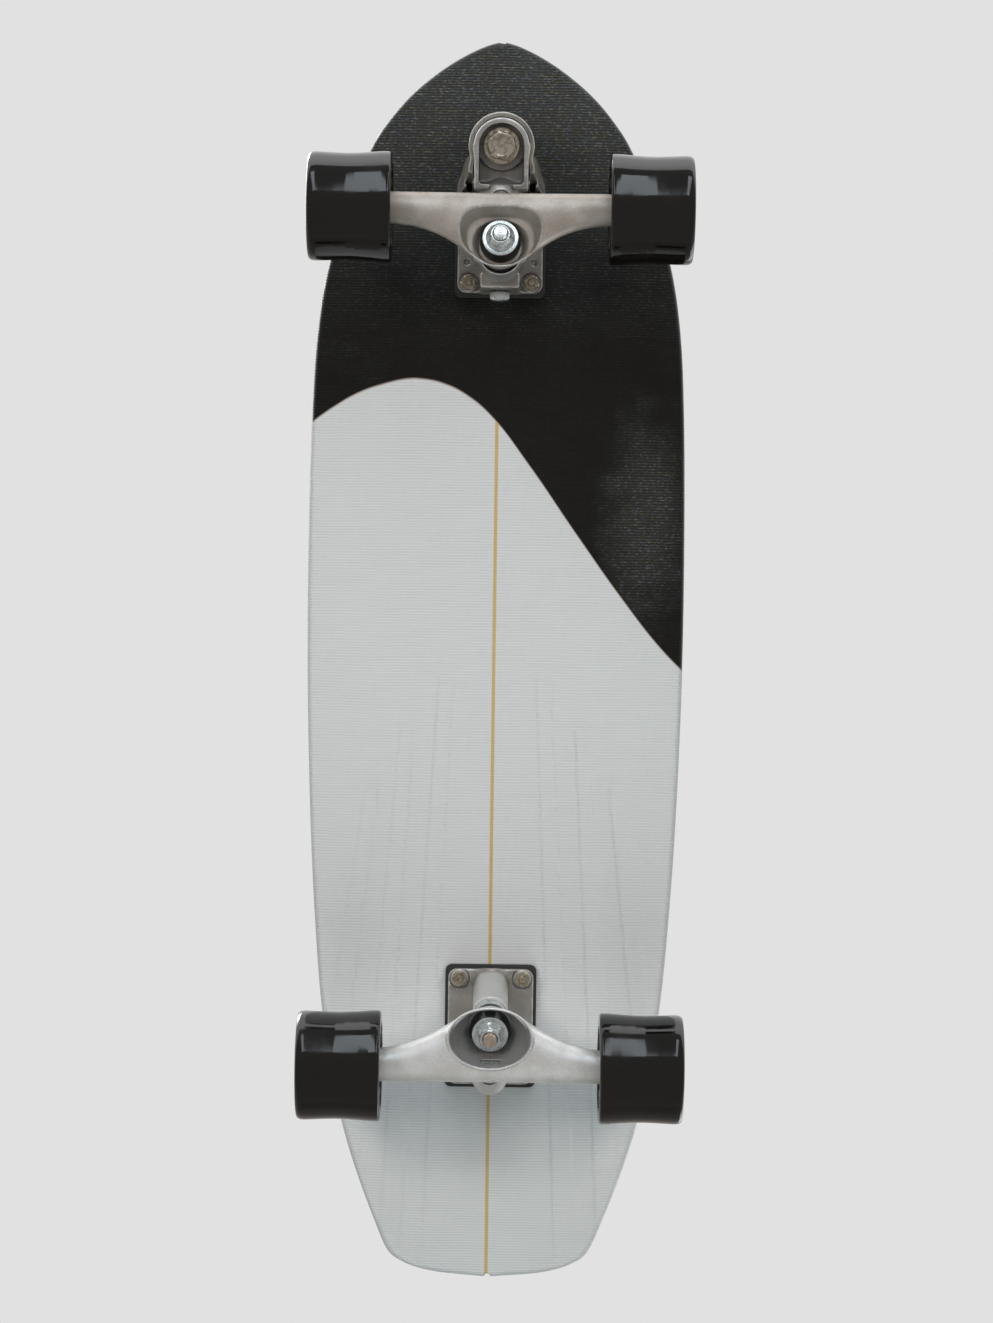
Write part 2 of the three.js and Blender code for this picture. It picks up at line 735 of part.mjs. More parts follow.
// Adds the washers, bushings and nut on a kingpin.
function addKingpinStack(group, truck) {
  const frame = kingpinFrame(truck);
  const bore = kingpinRadius + seatGap;
  const collarStart = kingpinNutStart + kingpinNutHeight * nutCollarShare;
  const nutEnd = kingpinNutStart + kingpinNutHeight;
  const nut = join(
    hexagon(kingpinNutAcrossFlats, kingpinNutStart, collarStart, frame),
    rod(kingpinNutAcrossFlats / 2, kingpinNutStart, nutEnd, kingpinSides, frame),
  );
  const nutBore = rod(bore, kingpinSeat, kingpinEnd + overrun, kingpinSides, frame);
  const topBushingEnd = topBushingStart + topBushingLength;
  const topBushing = turned([
    [bore, topBushingStart], [topBushingSeatRadius, topBushingStart],
    [topBushingTipRadius, topBushingEnd], [bore, topBushingEnd], [bore, topBushingStart],
  ], bushingSides, frame);
  const ring = (radius, start, length) => tube(bore, radius, start, start + length, bushingSides, frame);
  const bottomBushing = ring(bottomBushingRadius, bottomBushingStart, bottomBushingLength);
  const washer = (radius, start) => ring(radius, start, washerThickness);
  addPiece(group, `${truck.name}_kingpin`, kingpin(truck), finishes.zinc);
  addPiece(group, `${truck.name}_kingpin_nut`, cut(nut, nutBore), finishes.zinc);
  addPiece(group, `${truck.name}_bottom_washer`, washer(cupWasherRadius, washerStart), finishes.zinc);
  addPiece(group, `${truck.name}_bottom_bushing`, bottomBushing, finishes.bushing);
  addPiece(group, `${truck.name}_top_bushing`, topBushing, finishes.bushing);
  addPiece(group, `${truck.name}_top_washer`, washer(topWasherRadius, topWasherStart), finishes.zinc);
}

// Rear base: plate, leaning kingpin boss with its ridge, and the housing of the pivot cup.
function rearBase() {
  const skirtTop = plateTopDrop + seatGap;
  const skirt = turned([
    [0, skirtTop], [bossSkirtRadius, skirtTop], [kingpinBossRadius, bossSkirtDrop],
    [kingpinBossRadius, kingpinSeat], [0, kingpinSeat],
  ], bushingSides, kingpinFrame(rear));
  const housing = cupHousing(rearPivotX, plateTopDrop, rearPivotDrop);
  const side = new THREE.Shape();
  const seatDrop = (kingpinSeat - kingpinBossRadius) * Math.cos(rearKingpinLean);
  const seatX = rearKingpinFoot + seatDrop * Math.tan(rearKingpinLean);
  side.moveTo(rearPlateInner, -plateFaceDrop);
  side.lineTo(rearPivotX, -plateFaceDrop);
  side.lineTo(seatX, -seatDrop);
  side.lineTo(rearPlateInner + plateCorner, -plateFaceDrop - plateThickness);
  const ridgeFrame = at(0, ridgeWidth / 2, 0).multiply(new THREE.Matrix4().makeRotationX(Math.PI / 2));
  const ridge = plate(side, 0, ridgeWidth, ridgeFrame);
  const deckSide = block(
    [rearPlateInner - overrun, -plateWidth, -plateTopDrop],
    [plateLength, plateWidth, overrun],
  );
  return cut(
    join(basePlate(rearPlateInner), skirt, housing, ridge),
    deckSide,
    kingpinBore(rear),
    pivotSocket(rearPivotX, rearPivotDrop),
    ...plateHoles(rearPlateInner),
  );
}

// The tower's plan: two equal circles, one on the arm's axis and one inward of it.
function lobes(radius, from, fromInward, to) {
  const inward = armFrame.clone().multiply(at(lobeSpacing, 0, 0));
  return join(rod(radius, from, to, lobeSides, armFrame), rod(radius, fromInward, to, lobeSides, inward));
}

// The space inside an upright arch round the tower's top, which trims its leaning nose.
function archSpace(radius) {
  const archX = armAxisFoot - towerRim * Math.sin(armLean);
  return join(
    rod(radius, -overrun, armTop, lobeSides, downFrame(archX, 0)),
    block([-plateLength, -plateWidth, -armTop], [archX, plateWidth, overrun]),
  );
}

// Front base: plate, end block, and the hollow tower that carries the swing arm.
function frontBase() {
  const plateOuter = frontPlateInner + plateLength - plateCorner;
  const skirt = hull([-1, 1].flatMap((side) => [
    [skirtInner, side * plateWidth / 2, -plateTopDrop],
    [skirtInner, side * plateWidth / 2, -plateFaceDrop],
    [plateOuter, side * plateWidth / 2, -plateTopDrop],
    [plateOuter, side * plateWidth / 2, -plateFaceDrop],
    [skirtOuter, side * skirtOuterWidth / 2, -plateFaceDrop],
    [skirtTopInner, side * skirtTopWidth / 2, -skirtTopDrop],
    [skirtTopOuter, side * skirtTopWidth / 2, -skirtTopDrop],
  ]));
  const endBlock = block(
    [frontPlateInner, -blockWidth / 2, -blockDrop],
    [frontPlateInner + blockLength, blockWidth / 2, -plateTopDrop],
  );
  const tower = lobes(lobeRadius, towerStart, towerStart, towerRim).intersect(archSpace(lobeRadius));
  const outside = join(basePlate(frontPlateInner), skirt, endBlock, tower);
  const innerRadius = lobeRadius - towerWall;
  const room = lobes(innerRadius, postFloor, towerFloor, towerRim + overrun);
  const hollow = room.intersect(archSpace(innerRadius));
  const post = rod(postRadius, postFloor - seatGap, postTop, armSides, armFrame);
  const windowEnd = armAxisFoot - lobeSpacing - postRadius;
  const window = block(
    [skirtInner - overrun, -windowWidth / 2, -windowDrop - windowHeight],
    [windowEnd, windowWidth / 2, -windowDrop],
  );
  const stepSide = block(
    [-plateLength, -plateWidth, -plateLength],
    [towerStepX, plateWidth, -towerStepDrop],
  );
  const rodBore = rod(rodRadius + rodBoreClearance, frontPlateInner - overrun, skirtInner, armSides,
    alongFrame(0, -rodDrop));
  const deckSide = block([-plateLength, -plateWidth, -plateTopDrop], [2 * plateLength, plateWidth, overrun]);
  const sleeveRoom = armBoltRadius + sleeveWall + 2 * seatGap;
  const nutRoom = rod(hexCorner(locknutAcrossFlats) + runningGap, towerStart - overrun, locknutRecess,
    armSides, armFrame);
  return cut(
    join(cut(outside, hollow, window), post),
    deckSide,
    stepSide,
    rod(sleeveRoom, locknutRecess - seatGap, postTop + overrun, armSides, armFrame),
    nutRoom.intersect(archSpace(lobeRadius - nutRoomWall)),
    rodBore,
    ...plateHoles(frontPlateInner),
  );
}

// Where the arm's finger stands, and the finger's place at the spring rod's level.
const fingerFrame = armFrame.clone().multiply(at(fingerOffset, 0, 0));
const fingerFoot = new THREE.Vector3(0, 0, 0).applyMatrix4(fingerFrame);
const fingerX = fingerFoot.x - (rodDrop + fingerFoot.z) * Math.tan(armLean);

// Swing arm: hub with its pocket, beam, kingpin boss, pivot-cup boss and the finger on the spring rod.
// Its hub turns inside the tower's rim, its walls pass over the rim, and its beam over the rim's step.
function swingArm() {
  const overRim = towerRim + runningGap;
  const spigot = rod(hubSpigotRadius, armHubUnder, hubFloor, armSides, armFrame);
  const arch = rod(hubArchRadius, overRim, armTop, armSides, armFrame);
  const reach = lobeSpacing + lobeRadius + runningGap + seatGap;
  const walls = block([0, -armWidth / 2, overRim], [reach + overrun, armWidth / 2, armTop], armFrame);
  const pocket = join(
    rod(pocketWidth / 2, hubFloor, armTop + overrun, armSides, armFrame),
    block([0, -pocketWidth / 2, hubFloor], [plateLength, pocketWidth / 2, armTop + overrun], armFrame),
  );
  const slope = new THREE.Shape();
  slope.moveTo(armBeamInner - overrun, -armTop - overrun);
  slope.lineTo(armAxisFoot - lobeRadius, -armTop - overrun);
  slope.lineTo(armWallEnd, -armWallEndDrop);
  slope.lineTo(armWallEnd - overrun, -frontPivotDrop);
  slope.lineTo(armBeamInner - overrun, -frontPivotDrop);
  const sideFrame = at(0, armWidth, 0).multiply(new THREE.Matrix4().makeRotationX(Math.PI / 2));
  const hub = join(cut(join(arch, walls), pocket, plate(slope, 0, 2 * armWidth, sideFrame)), spigot);
  const beam = block([armBeamInner, -armWidth / 2, -armBeamTop], [frontPivotX, armWidth / 2, -armBeamUnder]);
  const housing = cupHousing(frontPivotX, armBeamUnder, frontPivotDrop);
  const bossStart = armBeamUnder - overrun;
  const boss = rod(kingpinBossRadius, bossStart, kingpinSeat, bushingSides, kingpinFrame(front));
  const deckSide = block([-plateLength, -plateWidth, -armBeamUnder], [plateLength, plateWidth, plateWidth]);
  const stepRoom = rod(reach, 0, towerStepRim + runningGap, lobeSides, armFrame);
  const finger = rod(fingerRadius, fingerTipDrop, hubFloor - seatGap, boltSides, fingerFrame);
  return cut(
    join(hub, cut(join(beam, housing, boss), deckSide, stepRoom), finger),
    rod(armBoltRadius + seatGap, 0, armTop, armSides, armFrame),
    kingpinBore(front),
    pivotSocket(frontPivotX, frontPivotDrop),
  );
}

// Adds the bolt, nut, sleeve and thrust bearing that the swing arm turns on.
function addArmPivot(group) {
  const flangeStart = hubFloor + seatGap;
  const headStart = flangeStart + armBoltFlangeHeight;
  const nutStart = locknutRecess - seatGap - locknutHeight;
  const sleeveInner = armBoltRadius + seatGap;
  const bolt = join(
    rod(armBoltRadius, nutStart, headStart, armSides, armFrame),
    rod(armBoltFlangeRadius, flangeStart, headStart, armSides, armFrame),
    hexagon(armBoltHeadAcrossFlats, headStart - seatGap, headStart + armBoltHeadHeight, armFrame),
  );
  const nut = cut(
    hexagon(locknutAcrossFlats, nutStart, nutStart + locknutHeight, armFrame),
    rod(sleeveInner, 0, armTop, armSides, armFrame),
  );
  const sleeve = tube(sleeveInner, sleeveInner + sleeveWall, locknutRecess, postTop, armSides, armFrame);
  const [bearingFoot, bearingTop] = [postTop + seatGap, armHubUnder - seatGap];
  const thrustBearing = tube(sleeveInner, postRadius, bearingFoot, bearingTop, armSides, armFrame);
  addPiece(group, 'front_arm_pivot_bolt', bolt, finishes.brightZinc);
  addPiece(group, 'front_arm_locknut', nut, finishes.zinc);
  addPiece(group, 'front_arm_bearing_sleeve', sleeve, finishes.steel);
  addPiece(group, 'front_arm_thrust_bearing', thrustBearing, finishes.steel);
}

// Stadium outline along x, from one centre to another.
function stadium(from, to, radius) {
  const shape = new THREE.Shape();
  shape.absarc(to, 0, radius, -Math.PI / 2, Math.PI / 2);
  shape.absarc(from, 0, radius, Math.PI / 2, Math.PI * 1.5);
  return shape;
}

// Spring rod: adjuster head outside the end block, two spring collars and the eye on the finger.
const springStart = frontPlateInner + blockLength + rodStandOff + collarWidth + seatGap;
const eyeHole = fingerRadius + eyeSlack;
const eyeRadius = eyeHole + eyeWall;
const eyeInner = fingerX - eyeTravelInner - eyeRadius;
const springEnd = eyeInner - collarWidth - seatGap;
function springRod() {
  const along = alongFrame(0, -rodDrop);
  const headEnd = frontPlateInner - rodStandOff;
  const eye = plate(stadium(fingerX - eyeTravelInner, fingerX + eyeTravelOuter, eyeRadius),
    rodDrop - eyeThickness / 2, rodDrop + eyeThickness / 2, downFrame(0, 0), 6);
  const slot = plate(stadium(fingerX - eyeTravelInner, fingerX + eyeTravelOuter, eyeHole),
    rodDrop - eyeThickness, rodDrop + eyeThickness, downFrame(0, 0), 6);
  const bar = rod(rodRadius, headEnd - rodHeadLength, eyeInner + eyeWall / 2, boltSides, along);
  const head = hexagon(rodHeadAcrossFlats, headEnd - rodHeadLength, headEnd, along);
  const collar = (start) => rod(collarRadius, start, start + collarWidth, armSides, along);
  const collars = [springStart - seatGap - collarWidth, springEnd + seatGap].map(collar);
  return join(cut(join(bar, eye), slot), head, ...collars);
}

// The coil: one unbroken wire, with both ends straight along the rod for one wire's thickness.
function coilSpring() {
  const coilStart = springStart + springWire;
  const coilLength = springEnd - springStart - 2 * springWire;
  const steps = springCurls * curlSteps;
  const path = [new THREE.Vector3(springStart, springMeanRadius, 0)];
  for (let i = 0; i <= steps; i += 1) {
    const angle = i * 2 * Math.PI / curlSteps;
    path.push(new THREE.Vector3(
      coilStart + coilLength * i / steps,
      springMeanRadius * Math.cos(angle),
      springMeanRadius * Math.sin(angle),
    ));
  }
  path.push(new THREE.Vector3(springEnd, springMeanRadius, 0));
  const rings = path.map((point, i) => {
    const before = path[Math.max(0, i - 1)];
    const after = path[Math.min(path.length - 1, i + 1)];
    const along = after.clone().sub(before).normalize();
    const outward = new THREE.Vector3(0, point.y, point.z).normalize();
    const side = along.clone().cross(outward).normalize();
    const up = side.clone().cross(along).normalize();
    return Array.from({ length: wireSides }, (_, k) => {
      const angle = k * 2 * Math.PI / wireSides;
      return point.clone()
        .addScaledVector(up, Math.cos(angle) * springWire / 2)
        .addScaledVector(side, Math.sin(angle) * springWire / 2)
        .add(new THREE.Vector3(0, 0, -rodDrop));
    });
  });
  let leastGap = Infinity;
  path.forEach((a, i) => path.slice(i + curlSteps / 2).forEach((b) => {
    leastGap = Math.min(leastGap, a.distanceTo(b) - springWire);
  }));
  console.log(`least gap between the spring's curls: ${leastGap.toFixed(2)} mm`);
  return loft(rings);
}

// Wheel, core, bearings and nut stand at these distances from the middle of the axle.
const bearingStart = hangerHalfLength + seatGap + speedRingWidth + seatGap;
const outerBearingStart = bearingStart + bearingWidth + seatGap + spacerLength + seatGap;
const outerBearingEnd = outerBearingStart + bearingWidth;
const coreMiddle = (bearingStart + outerBearingEnd) / 2;
const axleNutStart = outerBearingEnd + seatGap + speedRingWidth + seatGap;

// Axle with its speed rings and the spacers between the bearings.
function axle() {
  const collar = (from, to, radius) => [[axleRadius, from], [radius, from], [radius, to], [axleRadius, to]];
  const half = [
    ...collar(hangerHalfLength + seatGap, hangerHalfLength + seatGap + speedRingWidth, spacerRadius),
    ...collar(bearingStart + bearingWidth + seatGap, outerBearingStart - seatGap, spacerRadius),
    ...collar(outerBearingEnd + seatGap, outerBearingEnd + seatGap + speedRingWidth, spacerRadius),
    [axleRadius, axleLength / 2], [0, axleLength / 2],
  ];
  const mirrored = half.toReversed().map(([radius, place]) => [radius, -place]);
  return turned([...mirrored, ...half], axleSides, axleFrame);
}

// Urethane tyre: concave tread between rounded lips, recessed on both faces, bored for its core.
function tyre(side) {
  const full = 1 / Math.cos(Math.PI / wheelSides);
  const half = wheelWidth / 2;
  const inner = wheelRadius;
  const outer = wheelRadius - outerLipLoss;
  const tread = [
    [inner - lipRounding, -half], [inner, lipRounding - half], [inner, lipRounding + lipWidth - half],
    [inner - treadHollow, 0], [outer, half - lipRounding], [outer - lipRounding, half],
  ].map(([radius, place]) => [radius * full, place]);
  const bore = coreOuterRadius + seatGap;
  const profile = [
    ...tread,
    [recessRadius + recessFlare, half], [recessRadius, half - recessDepth], [bore, half - recessDepth],
    [bore, recessDepth - half], [recessRadius, recessDepth - half], [recessRadius + recessFlare, -half],
  ];
  const placed = side > 0 ? profile : profile.map(([radius, place]) => [radius, -place]).toReversed();
  const middle = side * coreMiddle;
  const points = [...placed, placed[0]].map(([radius, place]) => [radius, place + middle]);
  return turned(points, wheelSides, axleFrame);
}

// Hard core: a tube with a seat for a bearing at each end and a web between the seats.
function core(side) {
  const seat = bearingOuterRadius + seatGap;
  const web = spacerRadius + seatGap + runningGap;
  const halfGap = spacerLength / 2;
  const halfLength = coreLength / 2;
  const points = [
    [seat, -halfLength], [coreOuterRadius, -halfLength], [coreOuterRadius, halfLength], [seat, halfLength],
    [seat, halfGap], [web, halfGap], [web, -halfGap], [seat, -halfGap], [seat, -halfLength],
  ].map(([radius, place]) => [radius, place + side * coreMiddle]);
  return turned(points, coreSides, axleFrame);
}

// Ball bearing: its rings, balls and shields as one short tube.
function bearing(start) {
  const bore = axleRadius + seatGap;
  return tube(bore, bearingOuterRadius, start, start + bearingWidth, bearingSides, axleFrame);
}

// Adds an axle with everything that turns on it.
function addAxleSet(group, truck, facing) {
  addPiece(group, `${truck}_axle`, axle(), finishes.steel);
  [-1, 1].forEach((side) => {
    const hand = side * facing > 0 ? 'left' : 'right';
    const mirror = (start, length) => (side > 0 ? start : -start - length);
    const innerBearing = mirror(bearingStart, bearingWidth);
    const outerBearing = mirror(outerBearingStart, bearingWidth);
    const nutFrom = mirror(axleNutStart, axleNutHeight);
    const nut = cut(
      hexagon(axleNutAcrossFlats, nutFrom, nutFrom + axleNutHeight, axleFrame),
      rod(axleRadius + seatGap, nutFrom - overrun, nutFrom + axleNutHeight + overrun, axleSides, axleFrame),
    );
    addPiece(group, `${truck}_${hand}_wheel`, tyre(side), finishes.urethane);
    addPiece(group, `${truck}_${hand}_wheel_core`, core(side), finishes.core);
    addPiece(group, `${truck}_${hand}_inner_bearing`, bearing(innerBearing), finishes.steel);
    addPiece(group, `${truck}_${hand}_outer_bearing`, bearing(outerBearing), finishes.steel);
    addPiece(group, `${truck}_${hand}_axle_nut`, nut, finishes.zinc);
  });
}

// A truck's frame on the board, with the parts that both trucks have.
function truckGroup(truck) {
  const group = new THREE.Group();
  group.position.set(truck.axleX, 0, deckUnderside);
  group.rotation.z = truck.facing > 0 ? 0 : Math.PI;
  addPiece(group, `${truck.name}_riser_pad`, riserPad(truck.plateInner), finishes.riser);
  boltPlaces(truck.plateInner).forEach(([x, y], i) => {
    addPiece(group, `${truck.name}_deck_bolt_${i + 1}`, deckBolt(x, y), finishes.brightZinc);
  });
  addKingpinStack(group, truck);
  addPiece(group, `${truck.name}_pivot_cup`, pivotCup(truck.pivotX, truck.pivotDrop), finishes.plastic);
  addPiece(group, `${truck.name}_hanger`, hanger(truck), finishes.castHanger);
  addAxleSet(group, truck.name, truck.facing);
  board.add(group);
  return group;
}

const frontTruck = truckGroup(front);
addPiece(frontTruck, 'front_base', frontBase(), finishes.castBase);
addPiece(frontTruck, 'front_arm', swingArm(), finishes.castBase);
addArmPivot(frontTruck);
addPiece(frontTruck, 'front_spring_rod', springRod(), finishes.zinc);
addPiece(frontTruck, 'front_arm_spring', coilSpring(), finishes.steel);

const rearTruck = truckGroup(rear);
addPiece(rearTruck, 'rear_base', rearBase(), finishes.castBase);

export default board;
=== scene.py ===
import json
import math
from functools import partial

import bmesh
import bpy
import numpy as np
from mathutils import Matrix, Vector
from mathutils.geometry import tessellate_polygon


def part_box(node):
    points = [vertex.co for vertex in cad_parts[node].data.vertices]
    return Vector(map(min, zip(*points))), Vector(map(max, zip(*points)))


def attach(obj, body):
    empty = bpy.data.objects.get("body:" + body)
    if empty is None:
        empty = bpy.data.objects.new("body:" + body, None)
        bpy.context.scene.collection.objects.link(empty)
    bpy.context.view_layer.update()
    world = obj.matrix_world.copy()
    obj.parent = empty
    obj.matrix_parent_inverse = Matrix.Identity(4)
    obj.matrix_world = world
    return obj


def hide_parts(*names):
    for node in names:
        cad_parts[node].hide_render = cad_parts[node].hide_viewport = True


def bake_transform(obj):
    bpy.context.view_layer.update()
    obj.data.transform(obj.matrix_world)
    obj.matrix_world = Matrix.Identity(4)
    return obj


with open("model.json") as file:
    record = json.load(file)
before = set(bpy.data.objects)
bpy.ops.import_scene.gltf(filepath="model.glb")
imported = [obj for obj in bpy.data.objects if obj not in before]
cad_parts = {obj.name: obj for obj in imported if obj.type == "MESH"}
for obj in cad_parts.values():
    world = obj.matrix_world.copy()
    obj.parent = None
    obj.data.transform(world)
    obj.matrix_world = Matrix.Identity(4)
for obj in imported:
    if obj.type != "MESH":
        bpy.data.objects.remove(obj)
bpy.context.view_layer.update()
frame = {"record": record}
mm = 0.001
degree = math.pi / 180

# Camera: straight under the standing board, looking up, with the nose at the picture's top.
# The photograph's scale on the deck and its distance give the lens. The board lies a little askew.
image_height = 1323
pixels_per_metre = 1513
camera_distance = 2.2
camera_roll = 0.75 * degree
camera_side = 1.0 * mm
deck_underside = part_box("deck")[0].z
camera_data = bpy.data.cameras.new("camera")
camera_data.sensor_width = 36
camera_data.lens = camera_data.sensor_width * pixels_per_metre * camera_distance / image_height
camera = bpy.data.objects.new("camera", camera_data)
bpy.context.scene.collection.objects.link(camera)
picture_axes = Matrix(((0, 1, 0, 0), (1, 0, 0, 0), (0, 0, -1, 0), (0, 0, 0, 1)))
camera_place = Matrix.Translation((0, camera_side, deck_underside - camera_distance))
camera.matrix_world = camera_place @ picture_axes @ Matrix.Rotation(camera_roll, 4, "Z")
bpy.context.scene.camera = camera
bpy.context.scene.view_settings.view_transform = "Standard"


# Deck: thin maple plies pressed into a raised nose, a longer raised tail and raised rails. Six
# shallow channels are routed into its underside, which is covered by glass cloth over a two-tone
# print. Its outline is a smooth curve through shares of its half length and half width.
body_of = {node: body for body, nodes in frame["record"]["behaviour"]["bodies"].items() for node in nodes}


def new_object(name, vertices, faces):
    """A smooth-shaded mesh object from corners and faces."""
    mesh = bpy.data.meshes.new(name)
    mesh.from_pydata(np.asarray(vertices).tolist(), [], [tuple(face) for face in faces])
    mesh.update()
    mesh.shade_smooth()
    piece = bpy.data.objects.new(name, mesh)
    bpy.context.scene.collection.objects.link(piece)
    return piece


def finish_piece(piece, material, node, rigid=True):
    """Gives a piece its material and hides the node's own part. It stands for that node, and a rigid piece
    rides on its body.
    """
    piece.data.materials.clear()
    piece.data.materials.append(material)
    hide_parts(node)
    if rigid:
        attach(piece, body_of[node])
    return piece


def curve_point(points, share):
    """A point on the smooth curve through some points, with knots spaced by the root of their gaps."""
    last = len(points) - 1
    start = min(int(share * last), last - 1)
    weight = share * last - start
    b, c = points[start], points[start + 1]
    a = points[start - 1] if start > 0 else 2 * b - c
    d = points[start + 2] if start + 2 <= last else 2 * c - b
    gap_ab, gap_bc, gap_cd = (math.sqrt(np.linalg.norm(p - q)) for p, q in ((a, b), (b, c), (c, d)))
    leave = ((b - a) / gap_ab - (c - a) / (gap_ab + gap_bc) + (c - b) / gap_bc) * gap_bc
    arrive = ((c - b) / gap_bc - (d - b) / (gap_bc + gap_cd) + (d - c) / gap_cd) * gap_bc
    square, cube = weight ** 2, weight ** 3
    return (
        (2 * cube - 3 * square + 1) * b + (cube - 2 * square + weight) * leave
        + (3 * square - 2 * cube) * c + (cube - square) * arrive
    )


deck_length = 825.5 * mm
deck_width = 250 * mm
deck_thickness = 11 * mm
flat_width = 66 * mm
concave_rise = 8.5 * mm
kicks = {1: (330 * mm, 50 * mm, 0.208), -1: (292 * mm, 50 * mm, 0.303)}
rail_rounding = 3.2 * mm
outline_shares = np.array([
    (1, 0), (0.9933, 0.08), (0.974, 0.21), (0.945, 0.35), (0.906, 0.494), (0.867, 0.6), (0.8286, 0.682),
    (0.727, 0.824), (0.613, 0.926), (0.516, 0.969), (0.388, 0.99), (0.162, 1), (0, 0.997), (-0.126, 0.987),
    (-0.286, 0.966), (-0.414, 0.94), (-0.545, 0.902), (-0.678, 0.836), (-0.77, 0.758), (-0.836, 0.69),
    (-0.904, 0.609), (-0.957, 0.535), (-0.976, 0.455), (-0.99, 0.316), (-1, 0),
])
# Each channel: where its round end starts, how far from the middle, its half width, and how it fans
# out and widens.
channels = [
    (-1 * mm, 31.5 * mm, 5.5 * mm, 0.051, 0.0065),
    (-35 * mm, 57 * mm, 5 * mm, 0.068, 0.012),
    (-76 * mm, 79.5 * mm, 5 * mm, 0.125, 0.014),
]
channel_depth = 0.9 * mm
channel_wall = 1.6 * mm
channel_run_in = 12 * mm
underside_row_gap = 2.6 * mm
underside_columns = 230
top_columns = 40
rail_steps = 8


def deck_lift(x, y):
    """Height of the underside over its flat middle."""
    rail = np.maximum(0, np.abs(y) - flat_width / 2) / (deck_width / 2 - flat_width / 2)
    lift = concave_rise * rail ** 2
    for end, (start, bend, slope) in kicks.items():
        past = np.maximum(0, end * x - start)
        lift = lift + np.where(past < bend, slope * past ** 2 / (2 * bend), slope * (past - bend / 2))
    return lift


def channel_lift(x, y):
    """How deep the channels are cut at a place of the underside."""
    lift = 0 * x
    for start, middle, half, fan, widening in channels:
        along = start - x
        half = half + widening * along
        inward = half - np.hypot(np.abs(y) - middle - fan * along, np.minimum(along - half, 0))
        wall = np.clip(inward / channel_wall, 0, 1)
        lift = np.maximum(lift, wall * wall * (3 - 2 * wall) * np.clip(along / channel_run_in, 0.35, 1))
    return channel_depth * lift


def outline_rows(inset, row_gap):
    """Places along the board and half widths there, evenly spaced along the outline."""
    size = np.array([deck_length / 2 - inset, deck_width / 2 - inset])
    fine = np.array([curve_point(outline_shares, i / 2000) for i in range(2001)])
    fine = np.clip(fine, (-1, 0), 1) * size
    length = np.concatenate([[0], np.cumsum(np.linalg.norm(np.diff(fine, axis=0), axis=1))])
    steps = np.linspace(0, length[-1], math.ceil(length[-1] / row_gap) + 1)[1:-1]
    return np.array([np.interp(steps, length, fine[:, axis]) for axis in (0, 1)]).T


def skin(rings, closed=False):
    """Corners and faces of a skin through rings that have as many corners each."""
    count = len(rings[0])
    faces = []
    for step in range(len(rings) if closed else len(rings) - 1):
        base, after = step * count, (step + 1) % len(rings) * count
        for i in range(count):
            j = (i + 1) % count
            faces.append([base + i, base + j, after + j, after + i])
    return [corner for ring in rings for corner in ring], faces


def curved_sheet(name, bottom, top, inset, rounding, low_columns, relief):
    """A closed sheet with the deck's curves: a relieved underside, a plain top and a rounded rail.
    Each row of corners is one ring round the board, and the share of the thickness is kept with it."""
    rows = outline_rows(inset, underside_row_gap)
    angles = np.pi * np.arange(1, rail_steps) / rail_steps
    rings, shares = [], []
    for x, half in rows:
        flat_half = max(half - rounding, half / 2)
        low = np.linspace(-1, 1, low_columns) * flat_half
        high = np.linspace(1, -1, top_columns) * flat_half
        out = flat_half + (half - flat_half) * np.sin(angles)
        level = (bottom + top) / 2 - (top - bottom) / 2 * np.cos(angles)
        squeeze = 1 - rounding / (deck_length / 2)
        stretch = squeeze + (1 - squeeze) * np.sin(angles)
        y = np.concatenate([low, out, high, -out[::-1]])
        along = x * np.concatenate([np.full(low_columns, squeeze), stretch, np.full(top_columns, squeeze),
                                    stretch[::-1]])
        height = np.concatenate([bottom + relief(along[:low_columns], low), level,
                                 np.full(top_columns, top), level[::-1]])
        rings.append(np.stack([along, y, deck_underside + height + deck_lift(along, y)], 1))
        shares.append((height - bottom) / (top - bottom))
    corners, faces = skin(rings)
    loop = len(rings[0])
    faces += [list(range(loop))[::-1], list(range(len(corners) - loop, len(corners)))]
    piece = new_object(name, corners, faces)
    share = piece.data.attributes.new("ply", "FLOAT", "POINT")
    share.data.foreach_set("value", np.concatenate(shares).astype(np.float32))
    return piece


def shader(tree, kind, inputs=None, **settings):
    """Adds a shader node with its settings. An input is a plain value or another node's output."""
    node = tree.nodes.new("ShaderNode" + kind)
    for setting, value in settings.items():
        setattr(node, setting, value)
    for socket, value in (inputs or {}).items():
        if isinstance(value, bpy.types.NodeSocket):
            tree.links.new(value, node.inputs[socket])
        else:
            node.inputs[socket].default_value = value
    return node


def maths(operation, *values):
    """One step of arithmetic on values and outputs, in the tree that the outputs are in."""
    tree = next(value.id_data for value in values if isinstance(value, bpy.types.NodeSocket))
    return shader(tree, "Math", dict(enumerate(values)), operation=operation).outputs[0]


def times(first, second):
    """The product of two values or outputs."""
    return maths("MULTIPLY", first, second)


def plus(first, second):
    """The sum of two values or outputs."""
    return maths("ADD", first, second)


def minus(first, second):
    """The difference of two values or outputs."""
    return maths("SUBTRACT", first, second)


def vector(operation, first, *others):
    """One step of arithmetic on vectors."""
    inputs = dict(enumerate((first, *others)))
    return shader(first.id_data, "VectorMath", inputs, operation=operation).outputs


def object_place(tree):
    """The place on a piece, in its own axes."""
    return shader(tree, "TexCoord").outputs["Object"]


def between(value, low, high, to_low=0.0, to_high=1.0):
    """A smooth step while a value goes from one number to another."""
    inputs = {0: value, 1: low, 2: high, 3: to_low, 4: to_high}
    return shader(value.id_data, "MapRange", inputs, interpolation_type="SMOOTHSTEP").outputs[0]


